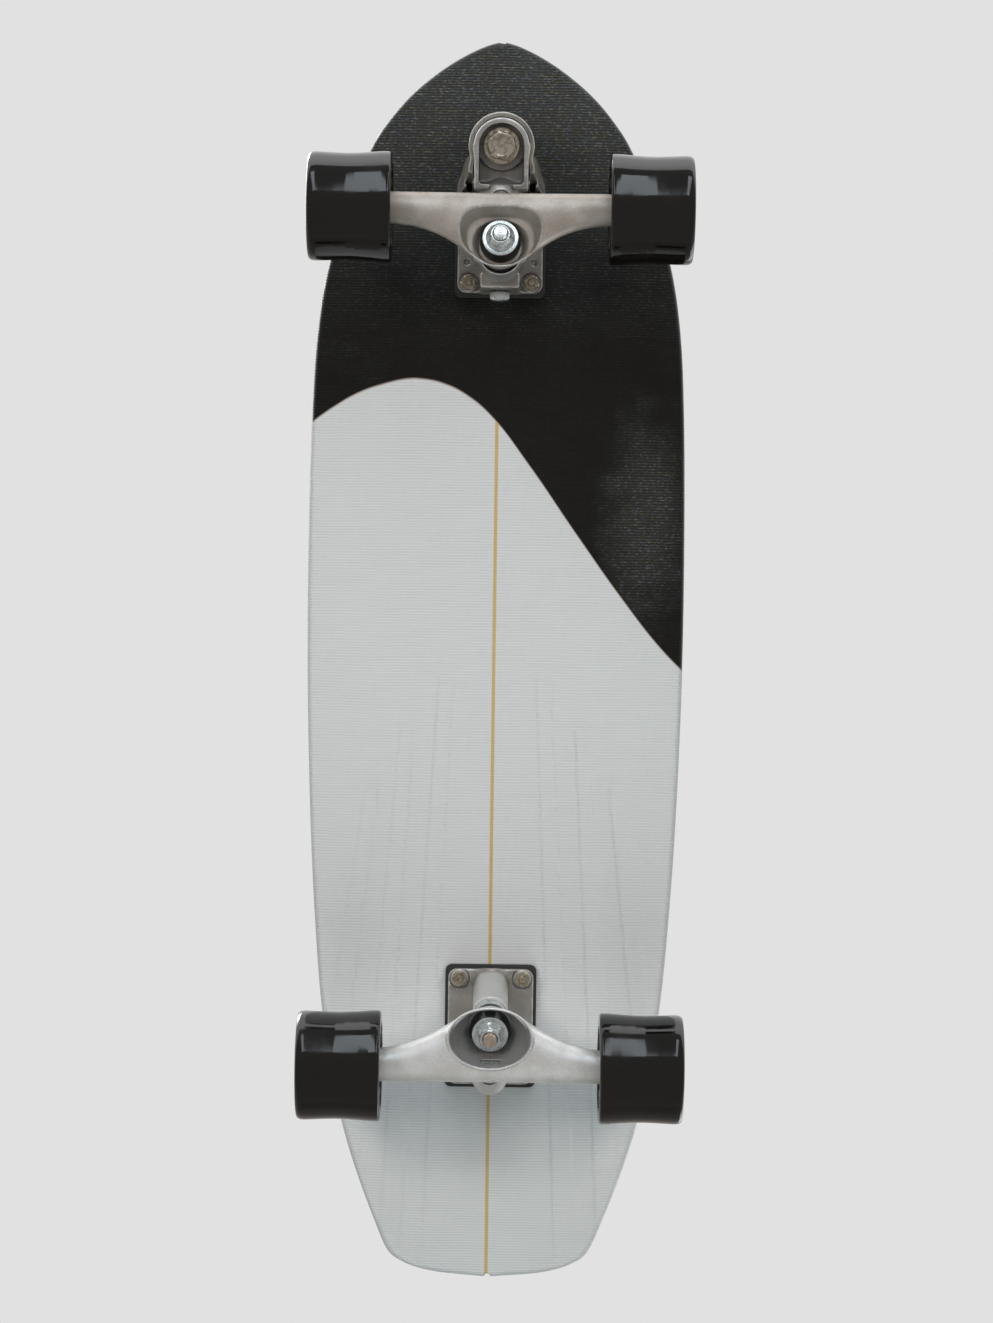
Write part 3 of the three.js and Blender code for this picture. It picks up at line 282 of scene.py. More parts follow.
def mixed(mask, first, second):
    """One colour where a mask is 0 and another where it is 1."""
    first, second = ((*c, 1) if isinstance(c, tuple) else c for c in (first, second))
    return shader(mask.id_data, "Mix", {0: mask, 6: first, 7: second}, data_type="RGBA").outputs[2]


def scaled(colour, share):
    """A darker or lighter colour of the same tint."""
    return tuple(share * part for part in colour)


def noise(place, per_metre, detail=2.0):
    """Soft noise around a half, with a number of grains to the metre."""
    inputs = {"Vector": place, "Scale": per_metre, "Detail": detail}
    return shader(place.id_data, "TexNoise", inputs).outputs[0]


def effect_group(name, inputs, outputs):
    """An empty shader group with named number inputs and named number outputs."""
    group = bpy.data.node_groups.new(name, "ShaderNodeTree")
    for label, value in inputs.items():
        socket = group.interface.new_socket(label, in_out="INPUT", socket_type="NodeSocketFloat")
        socket.default_value = value
    for label in outputs:
        group.interface.new_socket(label, in_out="OUTPUT", socket_type="NodeSocketFloat")
    return group, group.nodes.new("NodeGroupInput").outputs, group.nodes.new("NodeGroupOutput").inputs


def use_effect(tree, group, **values):
    """Places an effect in a material with values of its own."""
    node = tree.nodes.new("ShaderNodeGroup")
    node.node_tree = group
    for label, value in values.items():
        node.inputs[label.capitalize().replace("_", " ")].default_value = value
    return node.outputs


def new_material(name, constants):
    """A material with its surface shader and the constants on that shader's own sockets."""
    material = bpy.data.materials.new(name)
    material.use_nodes = True
    surface = material.node_tree.nodes["Principled BSDF"]
    for socket, value in constants.items():
        surface.inputs[socket].default_value = value
    return material, material.node_tree, surface


def set_surface(surface, height, depth, **sockets):
    """Links outputs to the surface shader's sockets, and a height to its normal through a bump."""
    tree = surface.id_data
    for socket, value in sockets.items():
        tree.links.new(value, surface.inputs[socket.replace("_", " ").title()])
    bump = shader(tree, "Bump", {"Height": height, "Distance": depth})
    tree.links.new(bump.outputs[0], surface.inputs["Normal"])


def set_effects(results, **values):
    """Links a group's values to its outputs."""
    for label, value in values.items():
        value.id_data.links.new(value, results[label.capitalize()])


# Glass cloth: threads across the board, crossed by finer ones, none of them quite even.
cloth, values, results = effect_group(
    "glass_cloth",
    {"Thread gap": 1.87 * mm, "Cross gap": 1.2 * mm, "Patch size": 14 * mm},
    ("Height", "Thread", "Patch"),
)
place = object_place(cloth)
axes = shader(cloth, "SeparateXYZ", {0: place}).outputs
drift = times(noise(place, 16.0), 0.9)
turns = plus(maths("DIVIDE", axes[0], values["Thread gap"]), drift)
turns = plus(turns, times(noise(place, 260.0), 0.22))
cross_turns = plus(maths("DIVIDE", axes[1], values["Cross gap"]), drift)
thread, cross = (maths("SINE", times(count, 2 * math.pi)) for count in (turns, cross_turns))
stretched = vector("MULTIPLY", place, (1.6, 0.35, 1))[0]
patch = noise(stretched, maths("DIVIDE", 1.0, values["Patch size"]))
amount = between(patch, 0.3, 0.72, 0.55, 1.0)
raised = times(plus(thread, times(cross, 0.45)), amount)
set_effects(results, height=raised, thread=times(thread, amount), patch=patch)

# The print's edge, as places across and along the board, in millimetres: dark on the nose's side.
print_edge = (
    (-125, 156), (-107.5, 168.4), (-91.7, 177.2), (-75.9, 182.7), (-60.1, 186.2), (-50, 186.1),
    (-36.3, 183.3), (-20.3, 175.5), (-4.2, 161.9), (20, 131.2), (52.3, 85.3), (84.7, 40.8),
    (108.9, 10.8), (125, -5.3),
)
edge_low, edge_span = -20 * mm, 220 * mm
print_dark = (0.0052, 0.0046, 0.0036)
print_light = (0.625, 0.627, 0.624)
keyline = (0.30, 0.235, 0.205)
keyline_fade = (0.2 * mm, 0.9 * mm)
print_blur, stringer_blur = 0.25 * mm, 0.2 * mm
stringer_gold = (0.52, 0.36, 0.10)
stringer_place = -0.8 * mm
stringer_half = 1.1 * mm
scuff_place = (95 * mm, 98 * mm, 0.0)
maple = (0.50, 0.345, 0.19)
maple_dark = (0.30, 0.185, 0.09)
deck_material, tree, surface = new_material("printed_glassed_maple", {"Specular IOR Level": 0.2})
place = object_place(tree)
axes = shader(tree, "SeparateXYZ", {0: place}).outputs
across = maths("DIVIDE", plus(axes[1], deck_width / 2), deck_width)
curve = shader(tree, "FloatCurve", {"Value": across})
points = curve.mapping.curves[0].points
on_curve = [(0.5 + y * mm / deck_width, (x * mm - edge_low) / edge_span) for y, x in print_edge]
points[0].location, points[-1].location = on_curve[0], on_curve[-1]
for spot in on_curve[1:-1]:
    points.new(*spot)
curve.mapping.update()
edge_place = plus(times(curve.outputs[0], edge_span), edge_low)
past_edge = minus(axes[0], edge_place)
dark_side = between(past_edge, -print_blur, print_blur)
on_keyline = between(maths("ABSOLUTE", past_edge), *keyline_fade, 1.0, 0.0)
stringer_off = maths("ABSOLUTE", minus(axes[1], stringer_place))
on_stringer = between(stringer_off, stringer_half - stringer_blur, stringer_half + stringer_blur,
                      1.0, 0.0)
on_stringer = times(on_stringer, minus(1.0, dark_side))
weave = use_effect(tree, cloth)
# Partly the weave's own tone and partly painted shade of the threads' relief: the light print darkens to a
# teal grey between the threads.
shade = times(between(weave["Thread"], -1.0, 0.4, 1.0, 0.0), 0.28)
light_print = mixed(weave["Patch"], *(scaled(print_light, share) for share in (0.96, 1.04)))
light_print = mixed(shade, light_print, (0.30, 0.33, 0.33))
light_print = mixed(times(on_stringer, 0.9), light_print, stringer_gold)
dark_print = mixed(weave["Patch"], *(scaled(print_dark, share) for share in (0.7, 1.4)))
bared = vector("MULTIPLY", place, (1.0, 0.45, 1.0))[0]
# Painted glints: specks of light on the threads, tinted blue or yellow.
painted_glint_flecks = between(noise(bared, 900.0, 1.0), 0.52, 0.72)
tint = noise(bared, 420.0, 1.0)
# Painted sheen: the dark print is lightened towards the nose, whose kick faces the lamps.
painted_nose_sheen = between(axes[0], 0.185, 0.40, 0.05, 0.9)
rubbed = between(noise(place, 9.0, 3.0), 0.58, 0.74, 0.0, 0.22)
from_scuff = vector("SUBTRACT", place, scuff_place)[0]
off_scuff = vector("LENGTH", vector("MULTIPLY", from_scuff, (0.55, 1.4, 0.0))[0])["Value"]
off_scuff = plus(off_scuff, times(noise(place, 60.0, 4.0), 0.04))
rubbed = plus(rubbed, between(off_scuff, 0.03, 0.07, 0.6, 0.0))
# Painted glints on the thread tops and the nose's painted sheen, with the real rubbed wear, lighten the
# dark print towards a blue or yellow tint.
painted_thread_glint = between(weave["Thread"], -0.2, 0.9, 0.35, 1.0)
painted_cloth_glints = times(painted_thread_glint, plus(times(painted_glint_flecks, 0.9), 0.45))
sheen_and_wear_amount = times(plus(painted_nose_sheen, rubbed), painted_cloth_glints)
sheen_and_wear_tint = mixed(between(tint, 0.4, 0.62), (0.13, 0.14, 0.148), (0.14, 0.138, 0.11))
dark_print = mixed(sheen_and_wear_amount, dark_print, sheen_and_wear_tint)
ply = shader(tree, "Attribute", attribute_name="ply").outputs["Fac"]
# Painted highlight: the dark print is lightened to a pale blue along the rail's lower edge, where it
# catches the light.
dark_print = mixed(times(between(ply, 0.10, 0.30), 0.6), dark_print, (0.26, 0.31, 0.34))
printed = mixed(dark_side, light_print, dark_print)
printed = mixed(times(on_keyline, 0.7), printed, keyline)
ply_count = 7
grain = noise(vector("MULTIPLY", place, (18, 260, 260))[0], 1.0, 4.0)
wood = mixed(grain, maple_dark, maple)
glue = maths("ABSOLUTE", maths("SINE", times(ply, ply_count * math.pi)))
wood = mixed(between(glue, 0.1, 0.35), scaled(maple_dark, 0.3), wood)
bare_edge = between(plus(ply, times(grain, 0.06)), 0.33, 0.35)
set_surface(
    surface, height=weave["Height"], depth=0.1 * mm,
    base_color=mixed(bare_edge, printed, wood),
    roughness=between(weave["Patch"], 0.2, 0.8, 0.34, 0.5),
)
deck = curved_sheet("deck_laminate", 0, deck_thickness, 0, rail_rounding, underside_columns, channel_lift)
finish_piece(deck, deck_material, "deck")


# Grip tape: an abrasive sheet stuck on the top face, cut back from the rail all round and drilled
# for the heads of the deck bolts.
def eased(profile, radius):
    """A profile with its corners eased by a small radius. It closes on itself if its ends meet."""
    points = [Vector((*point, 0)[:3]) for point in profile]
    closed = (points[0] - points[-1]).length < 1e-6
    middle = points[:-1] if closed else points[1:-1]
    line = [] if closed else [points[0]]
    for i, corner in enumerate(middle):
        before = middle[i - 1] if closed else points[i]
        after = middle[(i + 1) % len(middle)] if closed else points[i + 2]
        start, end = (
            corner + (other - corner) * min(radius / (other - corner).length, 0.45)
            for other in (before, after)
        )
        line += [start.lerp(corner, t).lerp(corner.lerp(end, t), t) for t in (0, 0.33, 0.67, 1)]
    return line + [line[0]] if closed else line + [points[-1]]


def turned(profile, place, sides=48, ease=0.2):
    """Corners and faces of a turned piece. Its profile, in millimetres, runs from the axis to the axis,
    or closes on itself: radius, height, and 1 where the section is a hexagon of that half width."""
    line = eased(profile, ease)
    turns = np.arange(sides) * 2 * np.pi / sides
    hexagon = 1 / np.cos(turns % (np.pi / 3) - np.pi / 6) - 1
    closed = (line[0] - line[-1]).length < 1e-6
    vertices, rings = [], []
    for radius, height, flats in (line[:-1] if closed else line):
        rings.append((len(vertices), sides if radius > 1e-4 else 1))
        for turn, corner in zip(turns[:rings[-1][1]], hexagon):
            reach = radius * (1 + flats * corner)
            vertices.append(place @ (Vector((reach * math.cos(turn), reach * math.sin(turn), height)) * mm))
    faces = []
    pairs = list(zip(rings, rings[1:])) + ([(rings[-1], rings[0])] if closed else [])
    for (first, count), (after, after_count) in pairs:
        for i in range(sides):
            j = (i + 1) % sides
            face = [first + i % count, first + j % count, after + j % after_count, after + i % after_count]
            faces.append(list(dict.fromkeys(face)))
    return vertices, [face for face in faces if len(face) > 2]


def assembled(name, *shells):
    """One object from the corners and faces of several closed shells."""
    sharp_angle = 35 * degree
    vertices, faces = [], []
    for shell_vertices, shell_faces in shells:
        start = len(vertices)
        vertices.extend(shell_vertices)
        faces.extend([start + i for i in face] for face in shell_faces)
    piece = new_object(name, vertices, faces)
    shape = bmesh.new()
    shape.from_mesh(piece.data)
    bmesh.ops.recalc_face_normals(shape, faces=shape.faces)
    shape.to_mesh(piece.data)
    shape.free()
    piece.data.set_sharp_from_angle(angle=sharp_angle)
    return piece


def drilled(piece, drill):
    """Takes a drill's shape out of a piece, and the drill out of the scene."""
    step = piece.modifiers.new("drill", "BOOLEAN")
    step.object, step.operation, step.solver = drill, "DIFFERENCE", "EXACT"
    graph = bpy.context.evaluated_depsgraph_get()
    piece.data = bpy.data.meshes.new_from_object(piece.evaluated_get(graph))
    piece.modifiers.clear()
    bpy.data.objects.remove(drill)


def moved(place, x=0, y=0, z=0, axis="Z", turn=0):
    """A place shifted by millimetres along its own axes, then turned about one of them."""
    return place @ Matrix.Translation((x * mm, y * mm, z * mm)) @ Matrix.Rotation(turn, 4, axis)


# Each truck's own frame under the deck, and how far inward its plate starts.
under_deck = Matrix.Translation((0, 0, deck_underside))
truck_place = {"front": moved(under_deck, 287), "rear": moved(under_deck, -257, turn=math.pi)}
plate_inner = {"front": -44.5, "rear": -54.5}
bolt_rows = (6.1, 60.1)
bolt_side = 20.65
bolt_places = [(row, side * bolt_side) for row in bolt_rows for side in (-1, 1)]
grip_thickness, grip_inset = 0.9 * mm, 3.6 * mm
bolt_head_radius, head_drill_gap = 4.6, 0.35
grip_bottom = deck_thickness + 0.1 * mm
grip_top_level = deck_thickness + 0.3 * mm + grip_thickness
grip = curved_sheet("grip_sheet", grip_bottom, grip_top_level, grip_inset, 0.3 * mm, top_columns,
                    lambda x, y: 0 * x)
drill_radius = bolt_head_radius + head_drill_gap
drill_profile = [(0, -2), (drill_radius, -2), (drill_radius, 4), (0, 4)]
drilled(grip, assembled("drill", *(
    turned(drill_profile, moved(truck_place[truck], inner + row, side, grip_bottom / mm), 32)
    for truck, inner in plate_inner.items() for row, side in bolt_places
)))
grip_material, tree, surface = new_material("abrasive_sheet", {"Roughness": 0.85, "IOR": 1.5})
place = object_place(tree)
grit = noise(place, 2200.0, 1.0)
glint = between(noise(place, 3100.0, 0.0), 0.66, 0.74)
scuff = between(noise(place, 14.0, 5.0), 0.5, 0.75)
grip_colour = mixed(between(grit, 0.35, 0.7), (0.006, 0.006, 0.0065), (0.035, 0.035, 0.037))
grip_colour = mixed(times(glint, 0.5), grip_colour, (0.3, 0.31, 0.33))
grip_colour = mixed(times(scuff, 0.25), grip_colour, (0.075, 0.072, 0.068))
set_surface(surface, height=grit, depth=0.35 * mm, base_color=grip_colour,
            roughness=minus(0.92, times(glint, 0.45)))
finish_piece(grip, grip_material, "grip_tape")


# Riser pads: moulded rubber between the deck and each plate, a little larger than the plate, with
# holes for the deck bolts.
def rounded_outline(low, high, half, corner):
    """A rectangle with rounded corners, as a loop of places in millimetres."""
    steps = 8
    centres = ((high - corner, half - corner), (low + corner, half - corner),
               (low + corner, corner - half), (high - corner, corner - half))
    turns = [[(quarter + step / steps) * math.pi / 2 for step in range(steps + 1)] for quarter in range(4)]
    return [
        (x + corner * math.cos(turn), y + corner * math.sin(turn))
        for (x, y), quarter in zip(centres, turns) for turn in quarter
    ]


def flat_plate(outline, holes, low, high, place):
    """Corners and faces of a flat plate with eased outer edges and round holes, in millimetres."""
    def drawn_in(loop, gap):
        inner = []
        for i, (x, y) in enumerate(loop):
            before, after = Vector(loop[i - 2]), Vector(loop[(i + 2) % len(loop)])
            along = (after - before).normalized()
            inner.append((x - along.y * gap, y + along.x * gap))
        return inner

    ease, slight = 0.5, 0.15
    circle = [(math.cos(i * math.pi / 12), math.sin(i * math.pi / 12)) for i in range(24)]
    levels = [(low, ease), (low + slight, slight), (low + ease, 0), (high - ease, 0),
              (high - slight, slight), (high, ease)]
    walls = [[(drawn_in(outline, inset), height) for height, inset in levels]]
    for x, y, radius in holes:
        hole = [(x + radius * c, y + radius * s) for c, s in circle]
        walls.append([(hole, low), (hole, high)])
    vertices, faces, ends = [], [], ([], [])
    for wall in walls:
        corners, quads = skin([[place @ (Vector((*spot, height)) * mm) for spot in ring]
                               for ring, height in wall])
        numbers = list(range(len(vertices), len(vertices) + len(corners)))
        vertices += corners
        faces += [[numbers[i] for i in quad] for quad in quads]
        count = len(wall[0][0])
        ends[0].extend(numbers[:count])
        ends[1].extend(numbers[-count:])
    for side, end in zip((0, -1), ends):
        flat = [[Vector((x, y, 0)) for x, y in wall[side][0]] for wall in walls]
        faces += [[end[i] for i in triangle] for triangle in tessellate_polygon(flat)]
    return vertices, faces


riser_drop, riser_thickness = 0.3, 3.4
riser_margin, riser_length, riser_half, riser_corner = 2.6, 81, 30, 4.5
bolt_hole = 2.75
rubber, tree, surface = new_material("moulded_rubber", {"IOR": 1.5})
place = object_place(tree)
mottle = noise(place, 90.0, 4.0)
set_surface(surface, height=noise(place, 1500.0), depth=0.06 * mm,
            base_color=mixed(mottle, (0.017, 0.0165, 0.016), (0.04, 0.038, 0.036)),
            roughness=between(mottle, 0.2, 0.8, 0.5, 0.68))
for truck, inner in plate_inner.items():
    start = inner - riser_margin
    outline = rounded_outline(start, start + riser_length, riser_half, riser_corner)
    holes = [(inner + row, side, bolt_hole) for row, side in bolt_places]
    pad = flat_plate(outline, holes, -riser_drop - riser_thickness, -riser_drop, truck_place[truck])
    finish_piece(assembled(f"{truck}_riser", pad), rubber, f"{truck}_riser_pad")


# Truck bases: tumbled aluminium castings. The rear one is a plate with a leaning kingpin boss on a
# ridge and a housing for the pivot cup. The front one carries a hollow tower for the swing arm.
def meet(first, second, edge):
    """Distance to what two bodies share, with the edge between them rounded."""
    a, b = first + edge, second + edge
    return np.minimum(np.maximum(a, b), 0) + np.hypot(np.maximum(a, 0), np.maximum(b, 0)) - edge


def merged(first, second, fillet):
    """Distance to two bodies cast in one, with a fillet between them."""
    near = np.maximum(fillet - np.abs(first - second), 0) / fillet
    return np.minimum(first, second) - near * near * fillet / 4


def bored(body, hole, edge=0.4):
    """Distance to a body after a hole is taken out of it, with an eased edge."""
    return meet(body, -hole, edge)


def rod_space(off_axis, along, radius, low, high, edge=0.3):
    """Distance to a round rod between two heights."""
    return meet(off_axis - radius, np.abs(along - (low + high) / 2) - (high - low) / 2, edge)


def box_space(x, y, z, low, high, corner, edge):
    """Distance to a block: its corners in plan and its edges are rounded."""
    x_off, y_off, z_off = (
        np.abs(value - (a + b) / 2) - (b - a) / 2 for value, a, b in zip((x, y, z), low, high)
    )
    return meet(meet(x_off, y_off, corner), z_off, edge)


def pin_axes(x, y, z, pin):
    """How far along a leaning pin a place lies, how far outward of it and how far off its axis."""
    foot, lean = pins[pin]
    along = (x - foot) * math.sin(lean) - z * math.cos(lean)
    side = (x - foot) * math.cos(lean) + z * math.sin(lean)
    return along, side, np.hypot(side, y)


def cast(name, field, low, high, place, recess=None):
    """A casting, meshed from its distance field in millimetres: one corner in each small cell that
    the surface crosses, moved onto the surface. It keeps how sharp an edge or hollow each corner is on,
    and whether it lies in a recess: hollows and recesses get painted shade."""
    step, reach = 0.75, 0.8
    sides = np.eye(3, dtype=int)
    axes = [np.arange(a - 2 * step, b + 2 * step, step) for a, b in zip(low, high)]
    values = field(*np.meshgrid(*axes, indexing="ij", sparse=True))
    inside = values < 0
    shape = np.array(inside.shape) - 1
    spots = np.array([(i, j, k) for i in (0, 1) for j in (0, 1) for k in (0, 1)])
    full = sum(inside[i:i + shape[0], j:j + shape[1], k:k + shape[2]].astype(np.int8) for i, j, k in spots)
    cells = np.argwhere((full > 0) & (full < 8))
    number = np.full(shape, -1)
    number[tuple(cells.T)] = np.arange(len(cells))
    total, hits = np.zeros(cells.shape), np.zeros(len(cells))
    for first in spots:
        for axis in range(3):
            if first[axis]:
                continue
            second = first + sides[axis]
            a, b = (values[tuple((cells + spot).T)] for spot in (first, second))
            crossed = (a < 0) != (b < 0)
            share = np.where(crossed, a / np.where(crossed, a - b, 1), 0)
            total += crossed[:, None] * (first + share[:, None] * (second - first))
            hits += crossed
    points = (cells + total / hits[:, None]) * step + [axis[0] for axis in axes]
    probe = 0.15 * step
    for _ in range(3):
        here = field(*points.T)
        slope = np.stack([
            (field(*(points + probe * side).T) - field(*(points - probe * side).T)) / (2 * probe)
            for side in sides
        ], 1)
        move = here[:, None] * slope / np.maximum((slope ** 2).sum(1), 0.25)[:, None]
        points -= np.clip(move, -0.4 * step, 0.4 * step)
    around = sum(field(*(points + reach * side).T) for side in (*sides, *-sides))
    bend = np.clip((around - 6 * field(*points.T)) / (reach * 1.5), -1, 1)
    faces = []
    for step_on, u, v in (np.roll(sides, -axis, 0) for axis in range(3)):
        near = inside[tuple(slice(0, n - o) for n, o in zip(inside.shape, step_on))]
        far = inside[tuple(slice(o, None) for o in step_on)]
        edges = np.argwhere(near != far)
        quad = np.stack([number[tuple((edges - back).T)] for back in (u + v, v, 0 * u, u)], 1)
        leaving = near[tuple(edges.T)]
        faces.append(np.where(leaving[:, None], quad, quad[:, ::-1]))
    world = np.array(place)[:3]
    corners = points * mm @ world[:, :3].T + world[:, 3]
    piece = new_object(name, corners, np.concatenate(faces).tolist())
    # Painted shade: corners deep in a recess are marked to be darkened.
    raw = np.clip(1.4 - recess(*points.T) / 0.6, 0, 1) if recess else 0 * bend
    marks = {"worn_edge": np.maximum(bend, 0), "hollow": np.maximum(-bend, 0), "painted_recess_shade": raw}
    for label, value in marks.items():
        mark = piece.data.attributes.new(label, "FLOAT", "POINT")
        mark.data.foreach_set("value", value.astype(np.float32))
    return piece


plate_top, plate_face = 4.0, 10.0
plate_length, plate_half, plate_corner = 75.7, 28, 6
spare_row = 69.6
nut_groove = (6.3, 0.6, 9.2)
nut_seat = 7.6
kingpin_gap = 5.05
# Each pin's foot on the deck, and its lean: the two kingpins and the swing arm's bolt.
pins = {"front": (-36.5, 10.5 * degree), "rear": (-47.5, 16.2 * degree), "arm": (55.5, -10 * degree)}
kingpin_seat = 61
boss_radius = {"front": 13.3, "rear": 11.3}
head_room = 8.6
head_space = {"front": (0, 53.5), "rear": (-20, 14)}
pivot_place = {"front": (12, 60), "rear": (13.5, 34)}
socket_radius, socket_depth = 9.4, 9
cup_room = 6.9
housing_radius = 11.6
hood_radius, neck_gap = 12.5, 5.6
axle_drop = 92
neck = (-1.5, 7.5, 4.8)
ridge_half, ridge_edge = 10.5, 6
ridge_start, ridge_facing = 13.5, (0.598, 0.802)


def plate_and_holes(x, y, down, inner):
    """A base's plate, and the holes, seats and grooves for its bolts and nuts."""
    low, high = (inner, -plate_half, plate_top), (inner + plate_length, plate_half, plate_face)
    plate = box_space(x, y, down, low, high, plate_corner, 1.1)
    off = [np.hypot(x - inner - row, np.abs(y) - bolt_side) for row in (*bolt_rows, spare_row)]
    used = np.minimum(off[0], off[1])
    holes = np.minimum(used, off[2]) - bolt_hole
    groove = meet(np.abs(used - nut_groove[0]) - nut_groove[1], nut_groove[2] - down, 0.2)
    seats = meet(used - nut_seat, plate_face - down, 0.5)
    return plate, np.minimum(np.minimum(holes, groove), seats)


def cup_hood(x, y, down, truck):
    """Distance to the half dome over a pivot cup's outer side, clear of the ball and the neck."""
    pivot_x, pivot_drop = pivot_place[truck]
    off = np.hypot(x - pivot_x, y)
    dome = np.hypot(off, down - pivot_drop + 5) - hood_radius
    half = meet(meet(dome, pivot_x + 0.5 - x, 0.6), pivot_drop - 0.6 - down, 0.2)
    ball_room = np.hypot(off, down - pivot_drop) - cup_room
    run, climb = neck[0] - pivot_x, axle_drop - pivot_drop
    off_neck = ((x - pivot_x) * climb - (down - pivot_drop) * run) / math.hypot(run, climb)
    neck_room = meet(np.hypot(off_neck, y * 0.87) - neck_gap, pivot_drop - down, 0.2)
    return bored(bored(half, ball_room, 0.3), neck_room, 0.5)


def carrier_forms(truck, x, y, z, boss_edge):
    """Distances to a kingpin's boss and to the housing of a pivot cup, and what is bored in them."""
    along, _, off_pin = pin_axes(x, y, z, truck)
    pivot_x, pivot_drop = pivot_place[truck]
    off_pivot = np.hypot(x - pivot_x, y)
    boss = meet(off_pin - boss_radius[truck], along - kingpin_seat, boss_edge)
    housing = meet(off_pivot - housing_radius, -z - pivot_drop + 0.3, 1.6)
    socket = rod_space(off_pivot, -z, socket_radius, pivot_drop - socket_depth, 90)
    head = rod_space(off_pin, along, head_room, *head_space[truck])
    return boss, housing, ((socket, 0.4), (off_pin - kingpin_gap, 0.6), (head, 0.4))


def rear_base_field(x, y, z):
    """The rear base, in its truck's frame."""
    down = -z
    inner = plate_inner["rear"]
    boss, housing, bores = carrier_forms("rear", x, y, z, 1.6)
    boss = meet(boss, inner + 0.6 - x, 2.5)
    plate, holes = plate_and_holes(x, y, down, inner)
    _, side, _ = pin_axes(x, y, z, "rear")
    outward = (x - ridge_start) * ridge_facing[0] + (down - plate_face) * ridge_facing[1]
    ridge = meet(meet(outward, -side, 2), np.abs(y) - ridge_half, ridge_edge)
    body = merged(merged(merged(plate, ridge, 3), boss, 2.5), housing, 3)
    body = bored(meet(body, plate_top - down, 0.3), holes)
    for bore, edge in bores:
        body = bored(body, bore, edge)
    return merged(body, cup_hood(x, y, down, "rear"), 0.6)


lobe_radius, lobe_gap = 21.3, 17
tower_foot, tower_rim = 6, 59
tower_wall, tower_wall_deep = 3.1, 3.2
arch_middle = pins["arm"][0] + tower_rim * math.sin(pins["arm"][1])
post_radius, post_floor, post_top = 11.5, 31, 48
lobe_floor = 16
sleeve_room = 8.4
nut_room = (9.4, 25)
window = (0, -14.5, 13, 27, 14.5, 38)
end_block = (-44.5, -12.7, 4, -34.5, 12.7, 41)
rod_drop, rod_bore = 24, 3.95
dimple_place = (-24.3, 22)
skirt_start, skirt_end, skirt_drop = 5, 47, 44
side_draft, end_draft, foot_slope = 0.235, 0.088, 0.5
narrow_from, narrow_facing, narrow_draft = 26.2, (0.277, 0.96), 0.14


def front_base_field(x, y, z):
    """The front base, in its truck's frame."""
    down = -z
    below = down - plate_face
    along, side, off_arm = pin_axes(x, y, z, "arm")
    lobe_plan = merged(off_arm, np.hypot(side + lobe_gap, y), 2)
    arch_plan = np.where(x > arch_middle, np.hypot(x - arch_middle, y), np.abs(y) * 0)
    plate, holes = plate_and_holes(x, y, down, plate_inner["front"])
    flare = np.abs(y) - plate_half + side_draft * below
    narrowing = narrow_facing[0] * (x - narrow_from) + narrow_facing[1] * (np.abs(y) - plate_half)
    skirt = meet(flare, narrowing + narrow_draft * below, 2)
    skirt = meet(meet(skirt, x - skirt_end + end_draft * below, 5), skirt_start + foot_slope * below - x, 3)
    skirt = meet(skirt, down - skirt_drop, 2.5)
    tower = meet(meet(lobe_plan - lobe_radius, arch_plan - lobe_radius, 0.5), along - tower_rim, 0.5)
    tower = meet(tower, tower_foot - along, 0.5)
    block = box_space(x, y, down, end_block[:3], end_block[3:], 1.6, 1.2)
    solid = merged(merged(merged(plate, skirt, 3), tower, 4), block, 2.5)
    thinning = (tower_wall_deep - tower_wall) * np.clip((along - 42) / 14, 0, 1)
    inner = lobe_radius - tower_wall_deep + thinning
    room = meet(meet(lobe_plan - inner, arch_plan - inner, 0.5), post_floor - along, 1.5)
    deep_room = meet(np.hypot(side + lobe_gap, y) - inner, lobe_floor - along, 1.5)
    solid = bored(solid, merged(room, deep_room, 0.5), 0.6)
    solid = bored(solid, box_space(x, y, down, window[:3], window[3:], 2, 1), 0.8)
    post = rod_space(off_arm, along, post_radius, post_floor - 1, post_top, 0.5)
    solid = merged(solid, post, 1)
    solid = meet(solid, plate_top - down, 0.3)
    solid = bored(solid, meet(x - 26, 46 - down, 2.5), 0.8)
    solid = bored(solid, rod_space(off_arm, along, sleeve_room, 24, 90))
    lock_space = rod_space(off_arm, along, nut_room[0], -20, nut_room[1])
    solid = bored(solid, meet(lock_space, arch_plan - lobe_radius + 1.5, 0.3))
    rod_line = meet(np.hypot(y, down - rod_drop) - rod_bore, x - 5, 0.3)
    dimples = meet(np.hypot(x - dimple_place[0], np.abs(y) - dimple_place[1]) - 2.0, 8.2 - down, 0.3)
    return bored(bored(bored(solid, rod_line), dimples), holes)


base_low = {"front": (-46, -29, -67), "rear": (-56, -29, -65)}
base_high = {"front": (70, 29, -3), "rear": (27, 29, -3)}
cast_grain, values, results = effect_group(
    "cast_grain",
    {"Grain": 0.5 * mm, "Edge gain": 1.0, "Hollow shade gain": 1.0},
    ("Height", "Edge", "Dirt", "Stain", "Raw"),
)
place = object_place(cast_grain)
pits = noise(place, maths("DIVIDE", 1.0, values["Grain"]))
stain = noise(place, 70.0, 5.0)
rub = between(noise(place, 320.0, 3.0), 0.3, 0.7, 0.55, 1.15)
worn, hollow, raw = (
    shader(cast_grain, "Attribute", attribute_name=label).outputs["Fac"]
    for label in ("worn_edge", "hollow", "painted_recess_shade")
)
edge_mask = between(times(times(worn, rub), values["Edge gain"]), 0.12, 0.6)
# Painted shade: hollows are marked to be darkened.
dirt_mask = between(times(hollow, values["Hollow shade gain"]), 0.05, 0.8)
set_effects(results, height=pits, edge=edge_mask, dirt=dirt_mask, stain=stain, raw=raw)


